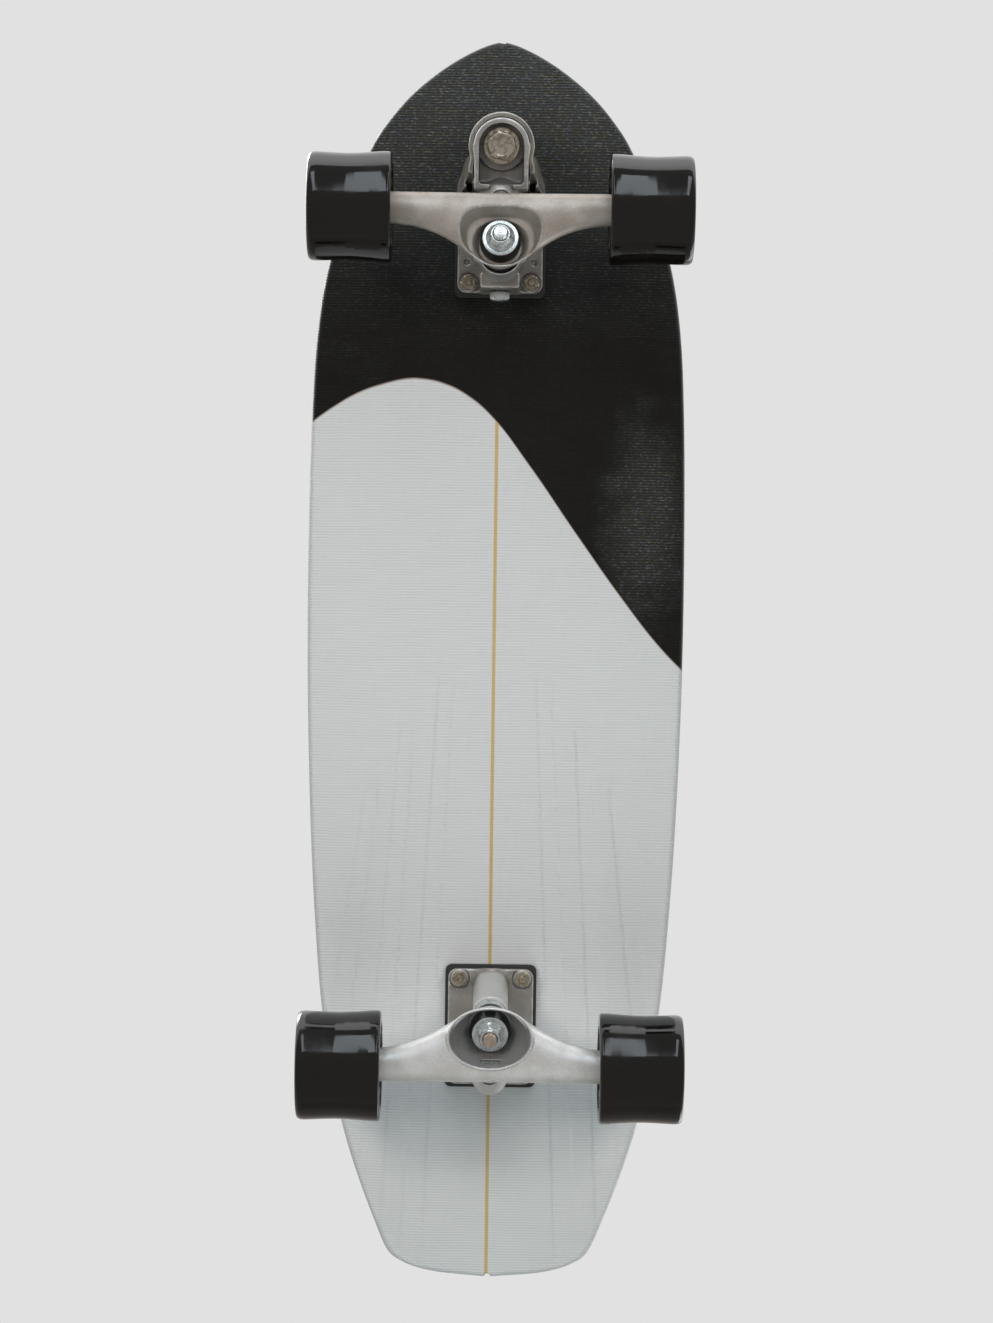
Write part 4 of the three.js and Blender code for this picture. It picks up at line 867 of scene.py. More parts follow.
def cast_metal(name, colour, dull, bright, roughness, raw, speck, painted_light_below=None):
    """Tumbled cast aluminium: stained in patches and brighter on its edges, with painted shade darkening
    its hollows and recesses and, below a given level, painted light.
    """
    material, tree, surface = new_material(name, {"Metallic": 0.62})
    effect = use_effect(tree, cast_grain)
    pitted = effect["Height"]
    skin = mixed(between(effect["Stain"], 0.35, 0.7), dull, colour)
    skin = mixed(times(effect["Edge"], 0.8), skin, bright)
    # Painted shade darkens the hollows.
    skin = mixed(times(effect["Dirt"], 0.55), skin, scaled(dull, 0.3))
    # Painted light: below the given level, nearer the lamps under the board, the skin is lightened.
    if painted_light_below:
        height = shader(tree, "SeparateXYZ", {0: object_place(tree)}).outputs[2]
        skin = mixed(between(height, painted_light_below, painted_light_below - 9 * mm, 0.0, 0.75), skin, bright)
    skin = mixed(between(pitted, 0.5, 0.66, 0.0, speck), skin, bright)
    skin = mixed(between(pitted, 0.5, 0.34, 0.0, speck), skin, scaled(dull, 0.45))
    # Painted shade darkens the recesses.
    skin = mixed(times(effect["Raw"], raw), skin, scaled(dull, 0.22))
    speckle = between(pitted, 0.3, 0.7, roughness + 0.1, roughness - 0.06)
    set_surface(surface, height=pitted, depth=0.14 * mm, base_color=skin,
                roughness=minus(speckle, times(effect["Edge"], 0.1)))
    return material


# Copies of one tumbled aluminium whose colours differ as painted light and shade: the front base, deep
# under the deck, is painted darker, and the rear base lighter.
base_metal_lit_and_shaded = {
    "front": cast_metal("front_base_metal_shaded", (0.40, 0.37, 0.33), (0.28, 0.25, 0.215), (0.74, 0.74, 0.72),
                        0.42, 0.6, 0.16),
    "rear": cast_metal("rear_base_metal_lit", (0.46, 0.44, 0.41), (0.34, 0.31, 0.28), (0.80, 0.80, 0.78),
                       0.42, 0.6, 0.18, deck_underside - 12 * mm),
}
for truck, field in (("front", front_base_field), ("rear", rear_base_field)):
    base = cast(f"{truck}_base_casting", field, base_low[truck], base_high[truck], truck_place[truck])
    finish_piece(base, base_metal_lit_and_shaded[truck], f"{truck}_base")


# Swing arm: a casting that turns on a bolt in the tower. It has a pocketed hub, a beam that covers the
# spring, the kingpin's boss, the housing of the pivot cup and a finger down to the spring rod.
hub_start, hub_floor, pocket_floor, arm_top = 52, 66, 62.6, 74.5
pocket_end = -24.5
over_rim = 59.7
hub_spigot, hub_arch = 16, 17.7
arm_half, pocket_half, arm_bore = 17.3, 14.3, 6.3
sweep_radius, sweep_depth = 39.3, 52.8
beam = (-30, -17.3, 44, 12, 17.3, 56)
finger_out, finger_radius, finger_from = 20, 3.5, 19
slope_start, slope_facing = (19, 68), (0.393, 0.92)


def arm_pocket(x, y, z):
    """Distance to the pocket round the arm bolt's seat, open to the deck's far side."""
    along, side, off_arm = pin_axes(x, y, z, "arm")
    pocket = meet(np.where(side > 0, off_arm, np.abs(y)) - pocket_half, pocket_floor - along, 1.2)
    pocket = meet(pocket, pocket_end - side, 3.0)
    return bored(pocket, rod_space(off_arm, along, 12.3, 0, hub_floor, 0.4), 0.5)


def swing_arm_field(x, y, z):
    """The swing arm, in its truck's frame."""
    down = -z
    along, side, off_arm = pin_axes(x, y, z, "arm")
    arch = meet(off_arm - hub_arch, over_rim - along, 0.5)
    walls = meet(meet(np.abs(y) - arm_half, side, 0.1), over_rim - along, 0.5)
    upper = meet(meet(merged(arch, walls, 3), along - arm_top, 1.0), -40 - side, 0.1)
    upper = bored(upper, arm_pocket(x, y, z), 0.7)
    slope = (x - slope_start[0]) * slope_facing[0] + (slope_start[1] - down) * slope_facing[1]
    upper = meet(upper, -np.minimum(slope, x - 16), 0.8)
    body = merged(upper, rod_space(off_arm, along, hub_spigot, hub_start, hub_floor, 0.5), 1)
    span = box_space(x, y, down, beam[:3], beam[3:], 4, 2.5)
    boss, housing, bores = carrier_forms("front", x, y, z, 1.0)
    boss, housing = (meet(form, beam[2] - down, 0.5) for form in (boss, housing))
    lower = merged(merged(span, housing, 3), boss, 3)
    lower = bored(lower, meet(off_arm - sweep_radius, along - sweep_depth, 0.5))
    finger = rod_space(np.hypot(side + finger_out, y), along, finger_radius, finger_from,
                       pocket_floor - 1, 0.8)
    body = merged(merged(body, lower, 2.5), finger, 1.5)
    for bore, edge in ((off_arm - arm_bore, 0.4), *bores):
        body = bored(body, bore, edge)
    return merged(body, cup_hood(x, y, down, "front"), 0.6)


# Painted light: the arm's copy of the aluminium is lighter than the front base's, as the arm lies nearer
# the lamps and less deep under the deck.
arm_metal_lit = cast_metal("cast_arm_metal_lit", (0.50, 0.49, 0.47), (0.37, 0.35, 0.325), (0.86, 0.87, 0.86),
                       0.40, 0.62, 0.15)
arm = cast("swing_arm_casting", swing_arm_field, (-45, -22, -84), (70, 22, -11), truck_place["front"],
           arm_pocket)
finish_piece(arm, arm_metal_lit, "front_arm")


# Hangers: tumbled castings of one shape, a beam that bells out to a bowl with the kingpin's ring, and
# a neck with the pivot ball. The front bowl has a ledge inside it and the rear bowl a thin rim.
hanger_half, hanger_end = 81.5, 9.75
rim_drop = axle_drop + hanger_end
bell_reach = {"front": 38.1, "rear": 38.2}
bell_width = {"front": 33, "rear": 39}
bell_power, bell_squareness = 1.8, 0.3
ring_from, ring_to, ring_bore = 77.8, 84.4, 8
bushing_room = 14.5
ball_radius = 6.3
axle_bore = 4.3
ledge_depth = 11
bowl_middle = -18.9


def oval(x, y, middle, half_x, half_y, power):
    """Distance to an upright wall whose plan is a squarish ellipse."""
    share = (np.abs((x - middle) / half_x) ** power + np.abs(y / half_y) ** power) ** (1 / power)
    return (share - 1) * min(np.min(half_x), np.min(half_y))


def hanger_bowl(truck, x, y, z, above_ledge=False):
    """Distance to the hollow round a hanger's kingpin: a cone at the rear, stepped at the front."""
    down = -z
    foot, lean = pins[truck]
    along, _, _ = pin_axes(x, y, z, truck)
    ring_x = foot + ring_to * math.sin(lean)
    floor = ring_to * math.cos(lean)
    if truck == "rear":
        depth = np.clip((rim_drop - down) / (rim_drop - floor), -0.4, 1)
        late = np.sign(depth) * np.abs(depth) ** 1.3
        middle = bowl_middle + (ring_x - bowl_middle) * late
        bowl = oval(x, y, middle, 18.0 - 4.6 * late, 25.3 - 11.7 * late, 2.05)
    else:
        first = np.clip((rim_drop - down) / ledge_depth, -0.6, 1)
        squarish = np.where(x > -22, 3.0, 2.1)
        upper = oval(x, y, -17.6 - 3.0 * first, 19.0 - 4.4 * first, 26.2 - 5.0 * first, squarish)
        if above_ledge:
            return meet(upper, rim_drop - 9.9 - down, 1.0)
        upper = meet(upper, rim_drop - ledge_depth - down, 1.5)
        second = np.clip((rim_drop - ledge_depth - down) / 8, 0, 1)
        bowl = merged(upper, oval(x, y, ring_x - 0.6, 13.9, 17.9 - 4.2 * second, 2.2), 1.5)
    return meet(bowl, ring_to - along, 0.8)


def hanger_field(truck, x, y, z):
    """A hanger, in its truck's frame."""
    down = -z
    along, _, off_pin = pin_axes(x, y, z, truck)
    bell = np.exp(-(np.abs(y) / bell_width[truck]) ** bell_power)
    inner = hanger_end + (bell_reach[truck] - hanger_end) * bell
    rise = hanger_end + max(0, axle_drop - hanger_end - ring_from * math.cos(pins[truck][1])) * bell
    power = 2 / (1 - bell_squareness * bell)
    half_x, half_z = (hanger_end + inner) / 2, (hanger_end + rise) / 2
    x_share = np.abs((x - (hanger_end - inner) / 2) / half_x)
    z_share = np.abs((z + axle_drop - (rise - hanger_end) / 2) / half_z)
    beam_space = ((x_share ** power + z_share ** power) ** (1 / power) - 1) * half_z
    body = meet(beam_space, np.abs(y) - hanger_half, 0.6)
    pivot_x, pivot_drop = pivot_place[truck]
    foot_x, root_radius, neck_radius = neck
    run, climb = pivot_x - foot_x, axle_drop - pivot_drop
    length = math.hypot(run, climb)
    up = ((x - foot_x) * run + (axle_drop - down) * climb) / length
    out = ((x - foot_x) * climb - (axle_drop - down) * run) / length
    off_neck = np.hypot(out, y)
    taper = root_radius + (neck_radius - root_radius) * np.clip(up / (length - ball_radius), 0, 1)
    stem = meet(meet(off_neck - taper, up - length, 0.5), -up, 0.5)
    body = merged(body, stem, 3)
    body = merged(body, np.sqrt(out ** 2 + y ** 2 + (up - length) ** 2) - ball_radius, 1)
    if truck == "rear":
        lip = meet(np.abs(oval(x, y, bowl_middle, 18.9, 26.1, 2.0)) - 0.9, down - rim_drop - 0.7, 0.4)
        body = merged(body, meet(lip, rim_drop - 4 - down, 0.4), 0.6)
    body = bored(body, hanger_bowl(truck, x, y, z), 0.9)
    body = bored(body, rod_space(off_pin, along, bushing_room, kingpin_seat, ring_from, 0.3), 0.3)
    body = bored(body, off_pin - ring_bore, 0.5)
    solid_half = 30 if truck == "front" else 0
    bore = meet(np.hypot(x, down - axle_drop) - axle_bore, solid_half - np.abs(y), 0.3)
    return bored(body, bore, 0.5)


# Painted light and shade: the rear hanger's copy of the aluminium is painted lighter and the front one
# darker and warmer.
hanger_metal_lit_and_shaded = {
    "front": cast_metal("front_hanger_metal_shaded", (0.55, 0.50, 0.45), (0.43, 0.38, 0.33), (0.86, 0.88, 0.87),
                        0.42, 0.12, 0.16),
    "rear": cast_metal("rear_hanger_metal_lit", (0.89, 0.89, 0.88), (0.74, 0.725, 0.70), (0.99, 1.0, 1.0),
                       0.38, 0.55, 0.25),
}
for truck, spot in truck_place.items():
    hanger = cast(f"{truck}_hanger_casting", partial(hanger_field, truck), (-41, -82, -103), (21, 82, -26),
                  spot, partial(hanger_bowl, truck, above_ledge=True))
    finish_piece(hanger, hanger_metal_lit_and_shaded[truck], f"{truck}_hanger")


# Deck bolts: yellow-zinc countersunk screws through grip, deck, riser and plate. Each is one piece
# with its nut, and each nut has come to rest at an angle of its own.
plated_wear, values, results = effect_group(
    "plated_wear", {"Brush": 0.25 * mm, "Mottle size": 4 * mm}, ("Height", "Mottle"),
)
place = object_place(plated_wear)
fine = noise(place, maths("DIVIDE", 1.0, values["Brush"]), 1.0)
mottle = noise(place, maths("DIVIDE", 1.0, values["Mottle size"]), 4.0)
set_effects(results, height=fine, mottle=mottle)


def plated_metal(name, colour, tarnish, roughness, depth=0.02 * mm):
    """Plated steel with faint tool marks, tarnished in small patches."""
    material, tree, surface = new_material(name, {"Metallic": 0.85})
    effect = use_effect(tree, plated_wear)
    patch = between(effect["Mottle"], 0.42, 0.72)
    set_surface(surface, height=effect["Height"], depth=depth,
                base_color=mixed(patch, colour, tarnish),
                roughness=between(effect["Mottle"], 0.3, 0.8, roughness, roughness + 0.16))
    return material


yellow_zinc = plated_metal("yellow_zinc", (0.50, 0.45, 0.34), (0.27, 0.23, 0.17), 0.2)
bright_zinc = plated_metal("bright_zinc", (0.74, 0.79, 0.79), (0.50, 0.56, 0.55), 0.15)
ground_steel = plated_metal("ground_steel", (0.62, 0.62, 0.61), (0.50, 0.49, 0.47), 0.22)
bolt_head_top = 12.2
deck_nut = (9.5, -15.8, -10.3)
bolt_shank, bolt_tip = 2.4, -18.3


def ring(bore, low, high, *outside):
    """Profile of a ring: its bore and the places round its outside, from low to high."""
    return [(bore, low), *outside, (bore, high), (bore, low)]


def nut_profile(across, low, high, bore):
    """Profile of a chamfered hexagon nut."""
    half, chamfer = across / 2, 0.9
    return ring(bore, low, high, (half * 0.94, low), (half, low + chamfer, 1), (half, high - chamfer, 1),
                (half * 0.94, high))


def thread(radius, low, high, pitch, depth):
    """Profile of a threaded stretch, from low to high: ridges as far apart as the thread's turns."""
    count = round((high - low) / pitch)
    marks = np.linspace(low, high, 2 * count + 1)
    return [(radius - depth * (i % 2 == 0), mark) for i, mark in enumerate(marks)]


screw_profile = [
    (0, bolt_tip), (bolt_shank - 0.5, bolt_tip),
    *thread(bolt_shank, bolt_tip + 0.5, deck_nut[1] - 0.1, 0.8, 0.22),
    (bolt_shank, deck_nut[1]), (bolt_shank, 8.5), (bolt_head_radius, 11), (bolt_head_radius, 12.0),
    (bolt_head_radius - 0.4, bolt_head_top), (2.0, bolt_head_top, 1), (2.0, bolt_head_top - 2.4, 1),
    (0, bolt_head_top - 2.8),
]
for truck, inner in plate_inner.items():
    for number, (row, side) in enumerate(bolt_places, 1):
        spot = moved(truck_place[truck], inner + row, side)
        nut_spot = moved(spot, turn=(17 * number + 11) * degree)
        screw = turned(screw_profile, spot, 36, 0.08)
        nut = turned(nut_profile(*deck_nut, bolt_shank - 0.3), nut_spot, 48, 0.12)
        piece = assembled(f"{truck}_deck_screw_{number}", screw, nut)
        finish_piece(piece, yellow_zinc, f"{truck}_deck_bolt_{number}")


# Arm pivot: a flanged bolt through the hub and the tower's post, with its locknut, bearing sleeve and
# thrust bearing inside the tower.
def pin_place(truck, pin):
    """A leaning pin's own frame: its third axis runs from the deck along the pin."""
    foot, lean = pins[pin]
    return moved(truck_place[truck], foot, axis="Y", turn=math.pi - lean)


def turned_piece(name, node, profile, place, material, sides=48, ease=0.2, rigid=True):
    """A turned piece that stands for one node."""
    return finish_piece(assembled(name, turned(profile, place, sides, ease)), material, node, rigid)


arm_place = pin_place("front", "arm")
bolt_start, flange_start, flange_end, arm_head_end = 18.3, 66.3, 69.3, 77.0
arm_bolt_profile = [
    (0, bolt_start), (5.2, bolt_start), *thread(6, bolt_start + 0.6, 30, 1.25, 0.4), (6, 30.5),
    (6, flange_start), (12.2, flange_start), (12.2, flange_end - 0.7), (11.2, flange_end),
    (9.6, flange_end + 0.1), (8.5, flange_end + 0.6, 1), (8.5, arm_head_end - 0.9, 1),
    (7.9, arm_head_end), (6.4, arm_head_end), (5.9, arm_head_end - 0.5), (0, arm_head_end - 0.6),
]
sleeve_profile = ring(arm_bore, 25, 48, (8.1, 25), (8.1, 48))
thrust_profile = ring(arm_bore, 48.3, 51.7, (11.5, 48.3), (11.5, 49.3), (10.4, 49.5), (10.4, 50.5),
                      (11.5, 50.7), (11.5, 51.7))
bronze_zinc = plated_metal("bronze_zinc", (0.62, 0.56, 0.47), (0.27, 0.225, 0.17), 0.2, 0.05 * mm)
turned_piece("arm_bolt_flanged", "front_arm_pivot_bolt", arm_bolt_profile,
             moved(arm_place, turn=12 * degree), bronze_zinc, 72, 0.25)
turned_piece("arm_locking_nut", "front_arm_locknut", nut_profile(15, bolt_start, 24.7, arm_bore),
             arm_place, bright_zinc, 48, 0.12)
turned_piece("arm_sleeve", "front_arm_bearing_sleeve", sleeve_profile, arm_place, ground_steel)
turned_piece("arm_thrust_race", "front_arm_thrust_bearing", thrust_profile, arm_place, ground_steel)


# Spring rod: it passes the end block from its adjuster head, carries the coil between two collars and
# ends in an eye that the arm's finger moves. The coil is one wire.
along_place = moved(truck_place["front"], z=-rod_drop, axis="Y", turn=math.pi / 2)
down_place = moved(truck_place["front"], axis="X", turn=math.pi)
spring_from, spring_to = -31.2, 20.86
rod_start, rod_end, rod_radius = -51.5, 24.7, 3
head_end = rod_start + 6
collar_radius, collar_width = 8, 2
rod_profile = [
    (0, rod_start), (4.2, rod_start), (4.6, rod_start + 0.4), (5.9, rod_start + 0.4),
    (6.3, rod_start + 1.3, 1), (6.3, head_end - 0.7, 1), (5.9, head_end), (rod_radius, head_end),
]
for start in (spring_from - 0.3 - collar_width, spring_to + 0.3):
    end = start + collar_width
    rod_profile += [(rod_radius, start), (collar_radius, start), (collar_radius, end), (rod_radius, end)]
rod_profile += [(rod_radius, rod_end), (0, rod_end)]


def long_loop(middle_from, middle_to, radius):
    """The outline of a slot between two middles, as places in millimetres."""
    turns = [(i / 16 - 0.5) * math.pi for i in range(17)]
    near = [(middle_to + radius * math.cos(turn), radius * math.sin(turn)) for turn in turns]
    return near + [(middle_from - radius * math.cos(turn), -radius * math.sin(turn)) for turn in turns]


eye_middles, eye_radius, eye_hole, eye_half = (30.16, 33.76), 7, 4, 3.5
eye = skin([
    [down_place @ (Vector((x, y, level + rod_drop)) * mm) for x, y in long_loop(*eye_middles, radius)]
    for radius, level in (
        (eye_radius - 0.4, -eye_half), (eye_radius, -eye_half + 0.4), (eye_radius, eye_half - 0.4),
        (eye_radius - 0.4, eye_half), (eye_hole, eye_half), (eye_hole, -eye_half),
    )
], closed=True)
spring_rod = assembled("adjuster_rod", turned(rod_profile, along_place, 48, 0.25), eye)
finish_piece(spring_rod, bright_zinc, "front_spring_rod")
wire, mean_radius, curls, curl_steps, wire_sides = 2.6, 6.4, 10, 24, 12
coil_from, coil_to = spring_from + wire, spring_to - wire
path = [Vector((mean_radius, 0, spring_from + 0.05))]
for i in range(curls * curl_steps + 1):
    turn = i * 2 * math.pi / curl_steps
    height = coil_from + (coil_to - coil_from) * i / (curls * curl_steps)
    path.append(Vector((mean_radius * math.cos(turn), mean_radius * math.sin(turn), height)))
path.append(Vector((mean_radius, 0, spring_to - 0.05)))
rings = []
for i, point in enumerate(path):
    forward = (path[min(i + 1, len(path) - 1)] - path[max(i - 1, 0)]).normalized()
    across = forward.cross(Vector((point.x, point.y, 0)).normalized()).normalized()
    outward = across.cross(forward)
    turns = [k * 2 * math.pi / wire_sides for k in range(wire_sides)]
    spots = [point + (outward * math.cos(turn) + across * math.sin(turn)) * wire / 2 for turn in turns]
    rings.append([along_place @ (spot * mm) for spot in spots])
vertices, faces = skin(rings)
faces += [list(range(wire_sides)), list(range(len(vertices) - wire_sides, len(vertices)))]
spring_steel = plated_metal("spring_steel", (0.40, 0.40, 0.40), (0.22, 0.21, 0.20), 0.3)
finish_piece(assembled("coil_of_wire", (vertices, faces)), spring_steel, "front_arm_spring")


# Kingpins: each carries a washer, a bottom bushing, the hanger's ring, a top bushing, a washer and a
# flanged locknut. The bushings are cast urethane, which gives when the hanger tilts; here they are not tied
# to a body.
def grained_material(name, constants, per_metre, detail, depth, dark, light):
    """A plain material with a fine grain in its colour and its relief."""
    material, tree, surface = new_material(name, constants)
    grain = noise(object_place(tree), per_metre, detail)
    set_surface(surface, height=grain, depth=depth * mm, base_color=mixed(grain, dark, light))
    return material


kingpin_radius, kingpin_end = 4.75, 107.8
head_start = {"front": 46.48, "rear": 6.76}
cup_depth = {"front": 1.6, "rear": 6.2}
bottom_reach = {"front": 13.3, "rear": 10.6}
pin_bore = 5.05
bottom_washer, bottom_bushing = (61.3, 62.8), (63.1, 77.5)
top_bushing, top_washer, kingpin_nut = (84.7, 94.7), (95.0, 96.5), (96.8, 104.8)
urethane = grained_material("bushing_urethane", {"Roughness": 0.36, "IOR": 1.5}, 180.0, 4.0, 0.05,
                            (0.008, 0.008, 0.008), (0.02, 0.02, 0.021))
grey_nylon = grained_material("grey_nylon", {"Roughness": 0.5, "IOR": 1.5}, 240.0, 3.0, 0.04,
                              (0.22, 0.22, 0.215), (0.34, 0.34, 0.33))
black_steel = plated_metal("black_steel", (0.035, 0.034, 0.033), (0.02, 0.019, 0.018), 0.35)
copper_end = plated_metal("kingpin_end", (0.66, 0.55, 0.47), (0.50, 0.38, 0.30), 0.24)
pin_metal = {"front": bright_zinc, "rear": copper_end}
washer_metal = {"front": black_steel, "rear": bright_zinc}
cup_material = {"front": rubber, "rear": grey_nylon}
low, high = kingpin_nut
flanged_nut = ring(
    pin_bore, low, high, (8.6, low), (9.2, low + 0.5), (9.0, low + 1.3), (7.15, low + 2.1, 1),
    (7.15, low + 5.0, 1), (6.7, low + 5.7), (6.5, high - 0.7), (5.9, high),
)
flat_washer = ring(pin_bore, *top_washer, *((11.5, level) for level in top_washer))
low, high = top_bushing
cone = [(pin_bore, low), (12.6, low), (13.1, low + 0.8), (12.4, low + 4), (10.9, high - 1.5),
        (10.2, high), (pin_bore, high), (pin_bore, (low + high) / 2), (pin_bore, low)]
for truck, carrier in (("front", "swing_arm"), ("rear", "root")):
    spot = pin_place(truck, truck)
    head, reach = head_start[truck], bottom_reach[truck]
    pin = [
        (0, head), (6.7, head), (7.15, head + 0.8, 1), (7.15, head + 5.2, 1), (6.8, head + 6),
        (kingpin_radius, head + 6), (kingpin_radius, 94),
        *thread(kingpin_radius, 94.5, kingpin_end - 0.9, 1.25, 0.4),
        (kingpin_radius - 0.7, kingpin_end), (0, kingpin_end),
    ]
    low, high = bottom_washer
    lip = high + cup_depth[truck]
    cupped = ring(pin_bore, low, high, (reach - 0.9, low), (reach - 0.2, low + 0.7), (reach - 0.2, lip),
                  (reach - 0.7, lip), (reach - 0.8, high))
    low, high = bottom_bushing
    barrel = [
        (pin_bore, low), (reach - 1.3, low), (reach - 0.9, low + 0.6), (reach - 0.9, high - 8.2),
        (reach - 0.2, high - 7.6), (reach, high - 5), (reach, high - 2), (reach - 0.5, high),
        (pin_bore, high), (pin_bore, (low + high) / 2), (pin_bore, low),
    ]
    for name, node, profile, turn, metal, sides, ease in (
        ("kingpin_bolt", "kingpin", pin, 0, pin_metal[truck], 48, 0.12),
        ("flanged_locknut", "kingpin_nut", flanged_nut, 9, bright_zinc, 72, 0.15),
        ("washer_top", "top_washer", flat_washer, 0, bright_zinc, 64, 0.35),
        ("washer_bottom", "bottom_washer", cupped, 0, washer_metal[truck], 64, 0.2),
    ):
        turned_piece(f"{truck}_{name}", f"{truck}_{node}", profile, moved(spot, turn=turn * degree), metal,
                     sides, ease)
    for name, node, profile, levels in (
        ("barrel_bushing", "bottom_bushing", barrel, bottom_bushing),
        ("cone_bushing", "top_bushing", cone, top_bushing[::-1]),
    ):
        bushing = turned_piece(f"{truck}_{name}", f"{truck}_{node}", profile, spot, urethane,
                               64, 0.5, rigid=False)
        start, end = (spot @ Vector((0, 0, level * mm)) for level in levels)
        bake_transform(bushing)
    pivot_x, pivot_drop = pivot_place[truck]
    floor, brim = pivot_drop - socket_depth + 0.3, pivot_drop + 0.4
    turns = np.linspace(0, math.pi / 2, 9)[:-1]
    hollow = [(cup_room * math.cos(turn), pivot_drop - cup_room * math.sin(turn)) for turn in turns]
    cup = [(0, floor), (8.6, floor), (9.1, floor + 0.5), (9.1, brim), (7.6, brim), *hollow,
           (0, pivot_drop - cup_room)]
    cup_spot = moved(truck_place[truck], pivot_x, axis="X", turn=math.pi)
    turned_piece(f"{truck}_cup_liner", f"{truck}_pivot_cup", cup, cup_spot, cup_material[truck])


# Axles and wheels: a ground axle with speed rings and spacers, a cast urethane tyre poured round a hard
# core, two shielded bearings in the core and a locknut on the axle's end.
axle_place = {
    truck: moved(spot, z=-axle_drop, axis="X", turn=-math.pi / 2) for truck, spot in truck_place.items()
}
axle_radius, axle_end = 4, 117.5
inner_ring, spacer, outer_ring = (81.8, 82.8), (90.4, 100.4), (108.0, 109.0)
bearings = {"inner": (83.1, 90.1), "outer": (100.7, 107.7)}
nut_start, nut_end = 109.3, 115.7
core_middle = 95.4
half = [(axle_radius, 0)]
for low, high in (inner_ring, spacer, outer_ring):
    half += [(axle_radius, low), (5.6, low), (5.6, high), (axle_radius, high)]
half += thread(axle_radius, 109.4, axle_end - 0.8, 1.0, 0.3)
half += [(axle_radius - 0.7, axle_end), (0, axle_end)]
mirrored = [(radius, -height) for radius, height in half[::-1]]
for truck, spot in axle_place.items():
    turned_piece(f"{truck}_ground_axle", f"{truck}_axle", mirrored + half[1:], spot, ground_steel,
                 36, 0.1)
tyre_black, tree, surface = new_material("black_urethane", {"IOR": 1.56})
place = object_place(tree)
haze = noise(place, 45.0, 4.0)
lathe_marks = noise(vector("MULTIPLY", place, (260, 3200, 260))[0], 1.0)
set_surface(surface, height=lathe_marks, depth=0.004 * mm,
            base_color=mixed(haze, (0.0016, 0.0012, 0.0008), (0.0042, 0.0032, 0.0022)),
            roughness=between(haze, 0.3, 0.75, 0.06, 0.16))
core_resin = grained_material("hard_core_resin", {"Roughness": 0.42, "IOR": 1.5}, 600.0, 3.0, 0.02,
                              (0.016, 0.016, 0.017), (0.035, 0.035, 0.036))
shield, tree, surface = new_material("bearing_shield", {"Metallic": 1.0})
smear = noise(object_place(tree), 420.0, 3.0)
set_surface(surface, height=smear, depth=0.01 * mm,
            base_color=mixed(smear, (0.50, 0.50, 0.49), (0.66, 0.66, 0.65)),
            roughness=between(smear, 0.3, 0.7, 0.2, 0.36))
tyre_profile = [
    (16.2, -15.5), (21.0, -15.5), (22.2, -16.6), (27.6, -26.5), (33.2, -26.5), (34.85, -25.7),
    (35.0, -24.0), (34.9, -20), (34.3, -13), (33.75, -4), (33.6, 2), (33.85, 10), (34.2, 17),
    (34.4, 21.5), (34.1, 24.4), (32.9, 26.2), (31.0, 26.5), (27.6, 26.5), (22.2, 16.6), (21.0, 15.5),
    (16.2, 15.5), (16.2, -15.5),
]
core_profile = [
    (11.3, -14), (12.2, -14), (12.4, -13.6), (14.6, -13.6), (14.8, -14), (16, -14), (16, 14), (14.8, 14),
    (14.6, 13.6), (12.4, 13.6), (12.2, 14), (11.3, 14), (11.3, 5), (6.7, 5), (6.7, -5), (11.3, -5),
    (11.3, -14),
]
face = [(4.3, 3.5), (5.9, 3.5), (6.1, 3.1), (6.3, 2.9), (8.9, 2.9), (9.1, 3.1), (9.4, 3.5), (11, 3.5)]
bearing_profile = [*face, *((radius, -height) for radius, height in face[::-1]), face[0]]
axle_nut = ring(4.1, nut_start, nut_end, (5.9, nut_start), (6.35, nut_start + 0.7, 1),
                (6.35, nut_end - 2.2, 1), (5.9, nut_end - 1.5), (5.5, nut_end - 0.5), (5.0, nut_end))
for truck, spot in axle_place.items():
    for side in (-1, 1):
        outward = 1 if truck == "front" else -1
        wheel = f"{truck}_left" if side == outward else f"{truck}_right"
        axle_half = moved(spot, axis="X", turn=(side < 0) * math.pi)
        middle = moved(axle_half, z=core_middle)
        turned_piece(f"{wheel}_tyre", f"{wheel}_wheel", tyre_profile, middle, tyre_black, 144, 0.8)
        turned_piece(f"{wheel}_hub_core", f"{wheel}_wheel_core", core_profile, middle, core_resin,
                     72, 0.15)
        for name, ends in bearings.items():
            turned_piece(f"{wheel}_{name}_ball_bearing", f"{wheel}_{name}_bearing", bearing_profile,
                         moved(axle_half, z=sum(ends) / 2), shield, 48, 0.15)
        turned_piece(f"{wheel}_locknut", f"{wheel}_axle_nut", axle_nut,
                     moved(axle_half, turn=21 * degree * side), bright_zinc, 72, 0.12)


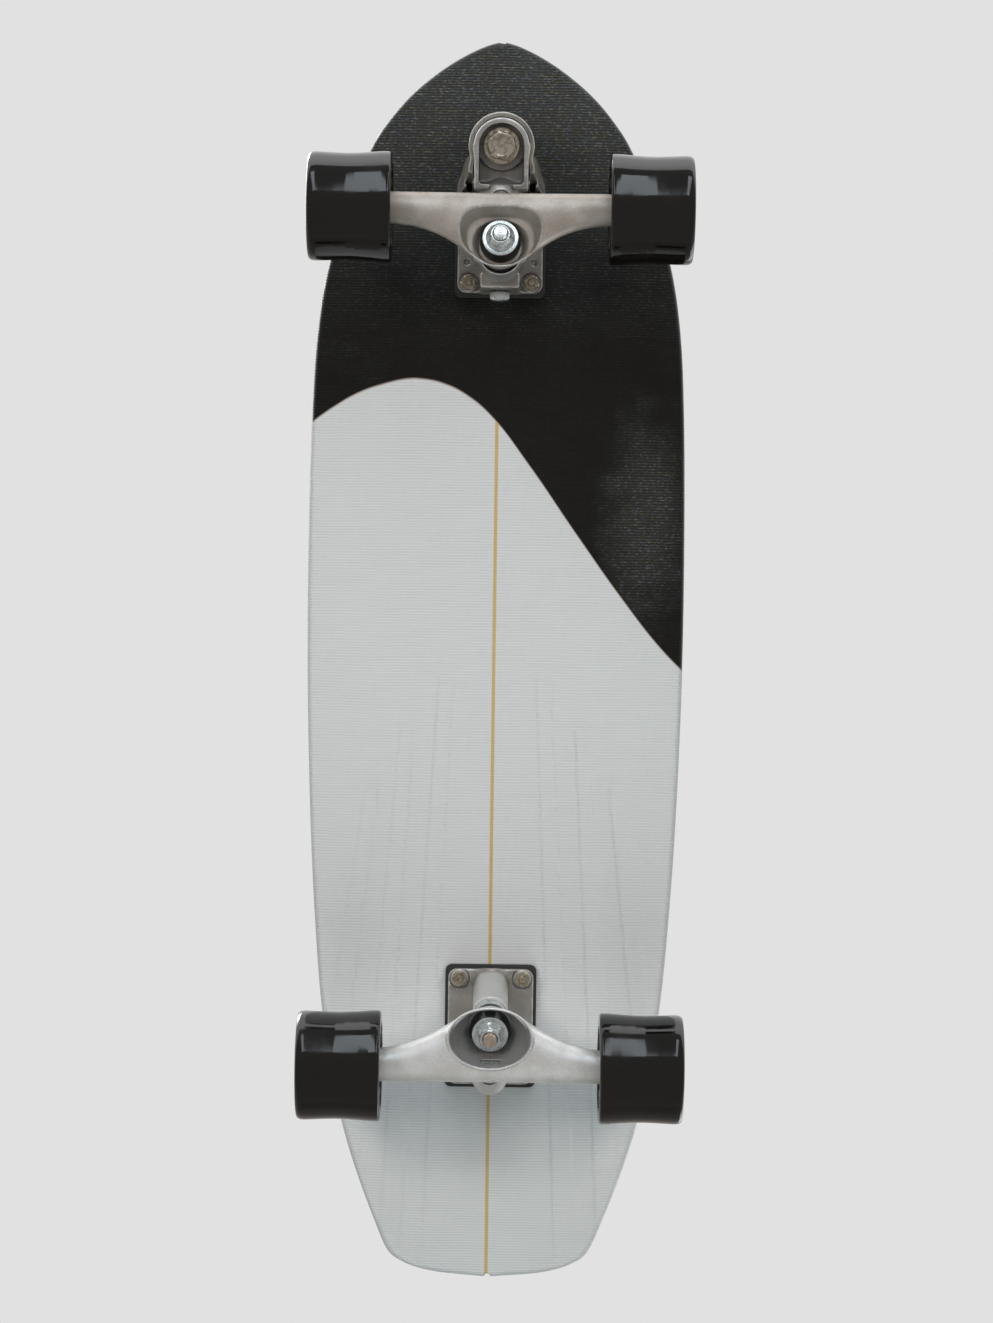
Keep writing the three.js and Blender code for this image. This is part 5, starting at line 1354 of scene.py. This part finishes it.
# Stage: the standing board's pale floor, seen only from above and fading out far away, and soft lamps
# below and above it. The camera looks through the floor from below, so the floor is clear there.
floor_half = 4.0
floor_corners = ((-1, -1), (1, -1), (1, 1), (-1, 1))
floor = new_object("floor", [(floor_half * x, floor_half * y, 0) for x, y in floor_corners], [(0, 1, 2, 3)])
floor_material, tree, surface = new_material("pale_floor", {
    "Base Color": (0.74, 0.74, 0.735, 1), "Roughness": 0.9, "Specular IOR Level": 0.1,
})
clear = shader(tree, "BsdfTransparent").outputs[0]
seen = shader(tree, "LightPath").outputs["Is Camera Ray"]
from_above = minus(1.0, shader(tree, "NewGeometry").outputs["Backfacing"])
off_middle = vector("LENGTH", object_place(tree))["Value"]
shown = times(times(seen, from_above), between(off_middle, 1.0, 3.4, 1.0, 0.0))
mix = shader(tree, "MixShader", {0: shown, 1: clear, 2: surface.outputs[0]}).outputs[0]
tree.links.new(mix, tree.nodes["Material Output"].inputs["Surface"])
floor.data.materials.append(floor_material)
backdrop, mirrored_ground, room_light = 0.753, 0.29, 0.21
world = bpy.data.worlds.new("studio")
world.use_nodes = True
bpy.context.scene.world = world
tree = world.node_tree
sky = tree.nodes["Background"]
ray = shader(tree, "LightPath").outputs
direction = shader(tree, "SeparateXYZ", {0: shader(tree, "TexCoord").outputs["Generated"]}).outputs
edge_height = plus(times(direction[0], 0.08), -0.10)
over_edge = between(minus(direction[2], edge_height), -0.012, 0.012)
side_tone = plus(times(direction[0], 0.8), 1.02)
side_tone = times(side_tone, between(direction[2], 0.25, 0.6, 1.0, 0.75))
mirrored_tone = plus(mirrored_ground, times(over_edge, minus(side_tone, mirrored_ground)))
pale = maths("MAXIMUM", ray["Is Camera Ray"], ray["Is Transmission Ray"])
other = minus(1.0, maths("MAXIMUM", pale, ray["Is Glossy Ray"]))
tone = plus(times(ray["Is Glossy Ray"], mirrored_tone), times(pale, backdrop))
tree.links.new(plus(tone, times(other, room_light)), sky.inputs["Strength"])
warm = times(ray["Is Glossy Ray"], between(direction[0], 0.5, -0.1))
tint = mixed(other, (1.0, 1.0, 1.0), (0.88, 1.0, 1.03))
tree.links.new(mixed(warm, tint, (1.0, 0.94, 0.885)), sky.inputs["Color"])


def soft_lamp(name, place, width, height, power, colour, mirrored=True):
    """A soft rectangular lamp that faces the board."""
    data = bpy.data.lights.new(name, "AREA")
    data.shape, data.size, data.size_y = "RECTANGLE", width, height
    data.energy, data.color = power, colour
    lamp = bpy.data.objects.new(name, data)
    bpy.context.scene.collection.objects.link(lamp)
    lamp.location = place
    lamp.rotation_euler = (Vector((0, 0, 0.1)) - Vector(place)).to_track_quat("-Z", "Y").to_euler()
    lamp.visible_glossy = mirrored
    lamp.visible_camera = False


for hand, side, power in (("right", -1, 47.8), ("left", 1, 34.8)):
    soft_lamp(f"key_below_{hand}", (1.0, 1.9 * side, -3.0), 0.8, 0.8, power, (1.0, 0.95, 0.92),
              mirrored=False)
    soft_lamp(f"window_below_{hand}", (2.0, 0.45 * side, -1.57), 0.5, 2.0, 8.5, (0.86, 0.93, 1.0))
soft_lamp("fill_below", (-2.6, 0, -2.4), 2.4, 2.4, 42, (0.92, 0.99, 1.0), mirrored=False)
soft_lamp("key_above", (1.4, -1.6, 2.6), 1.6, 1.6, 60, (1.0, 0.99, 0.97))
soft_lamp("fill_above", (-1.8, 1.8, 2.0), 2.2, 2.2, 30, (0.96, 0.98, 1.0))
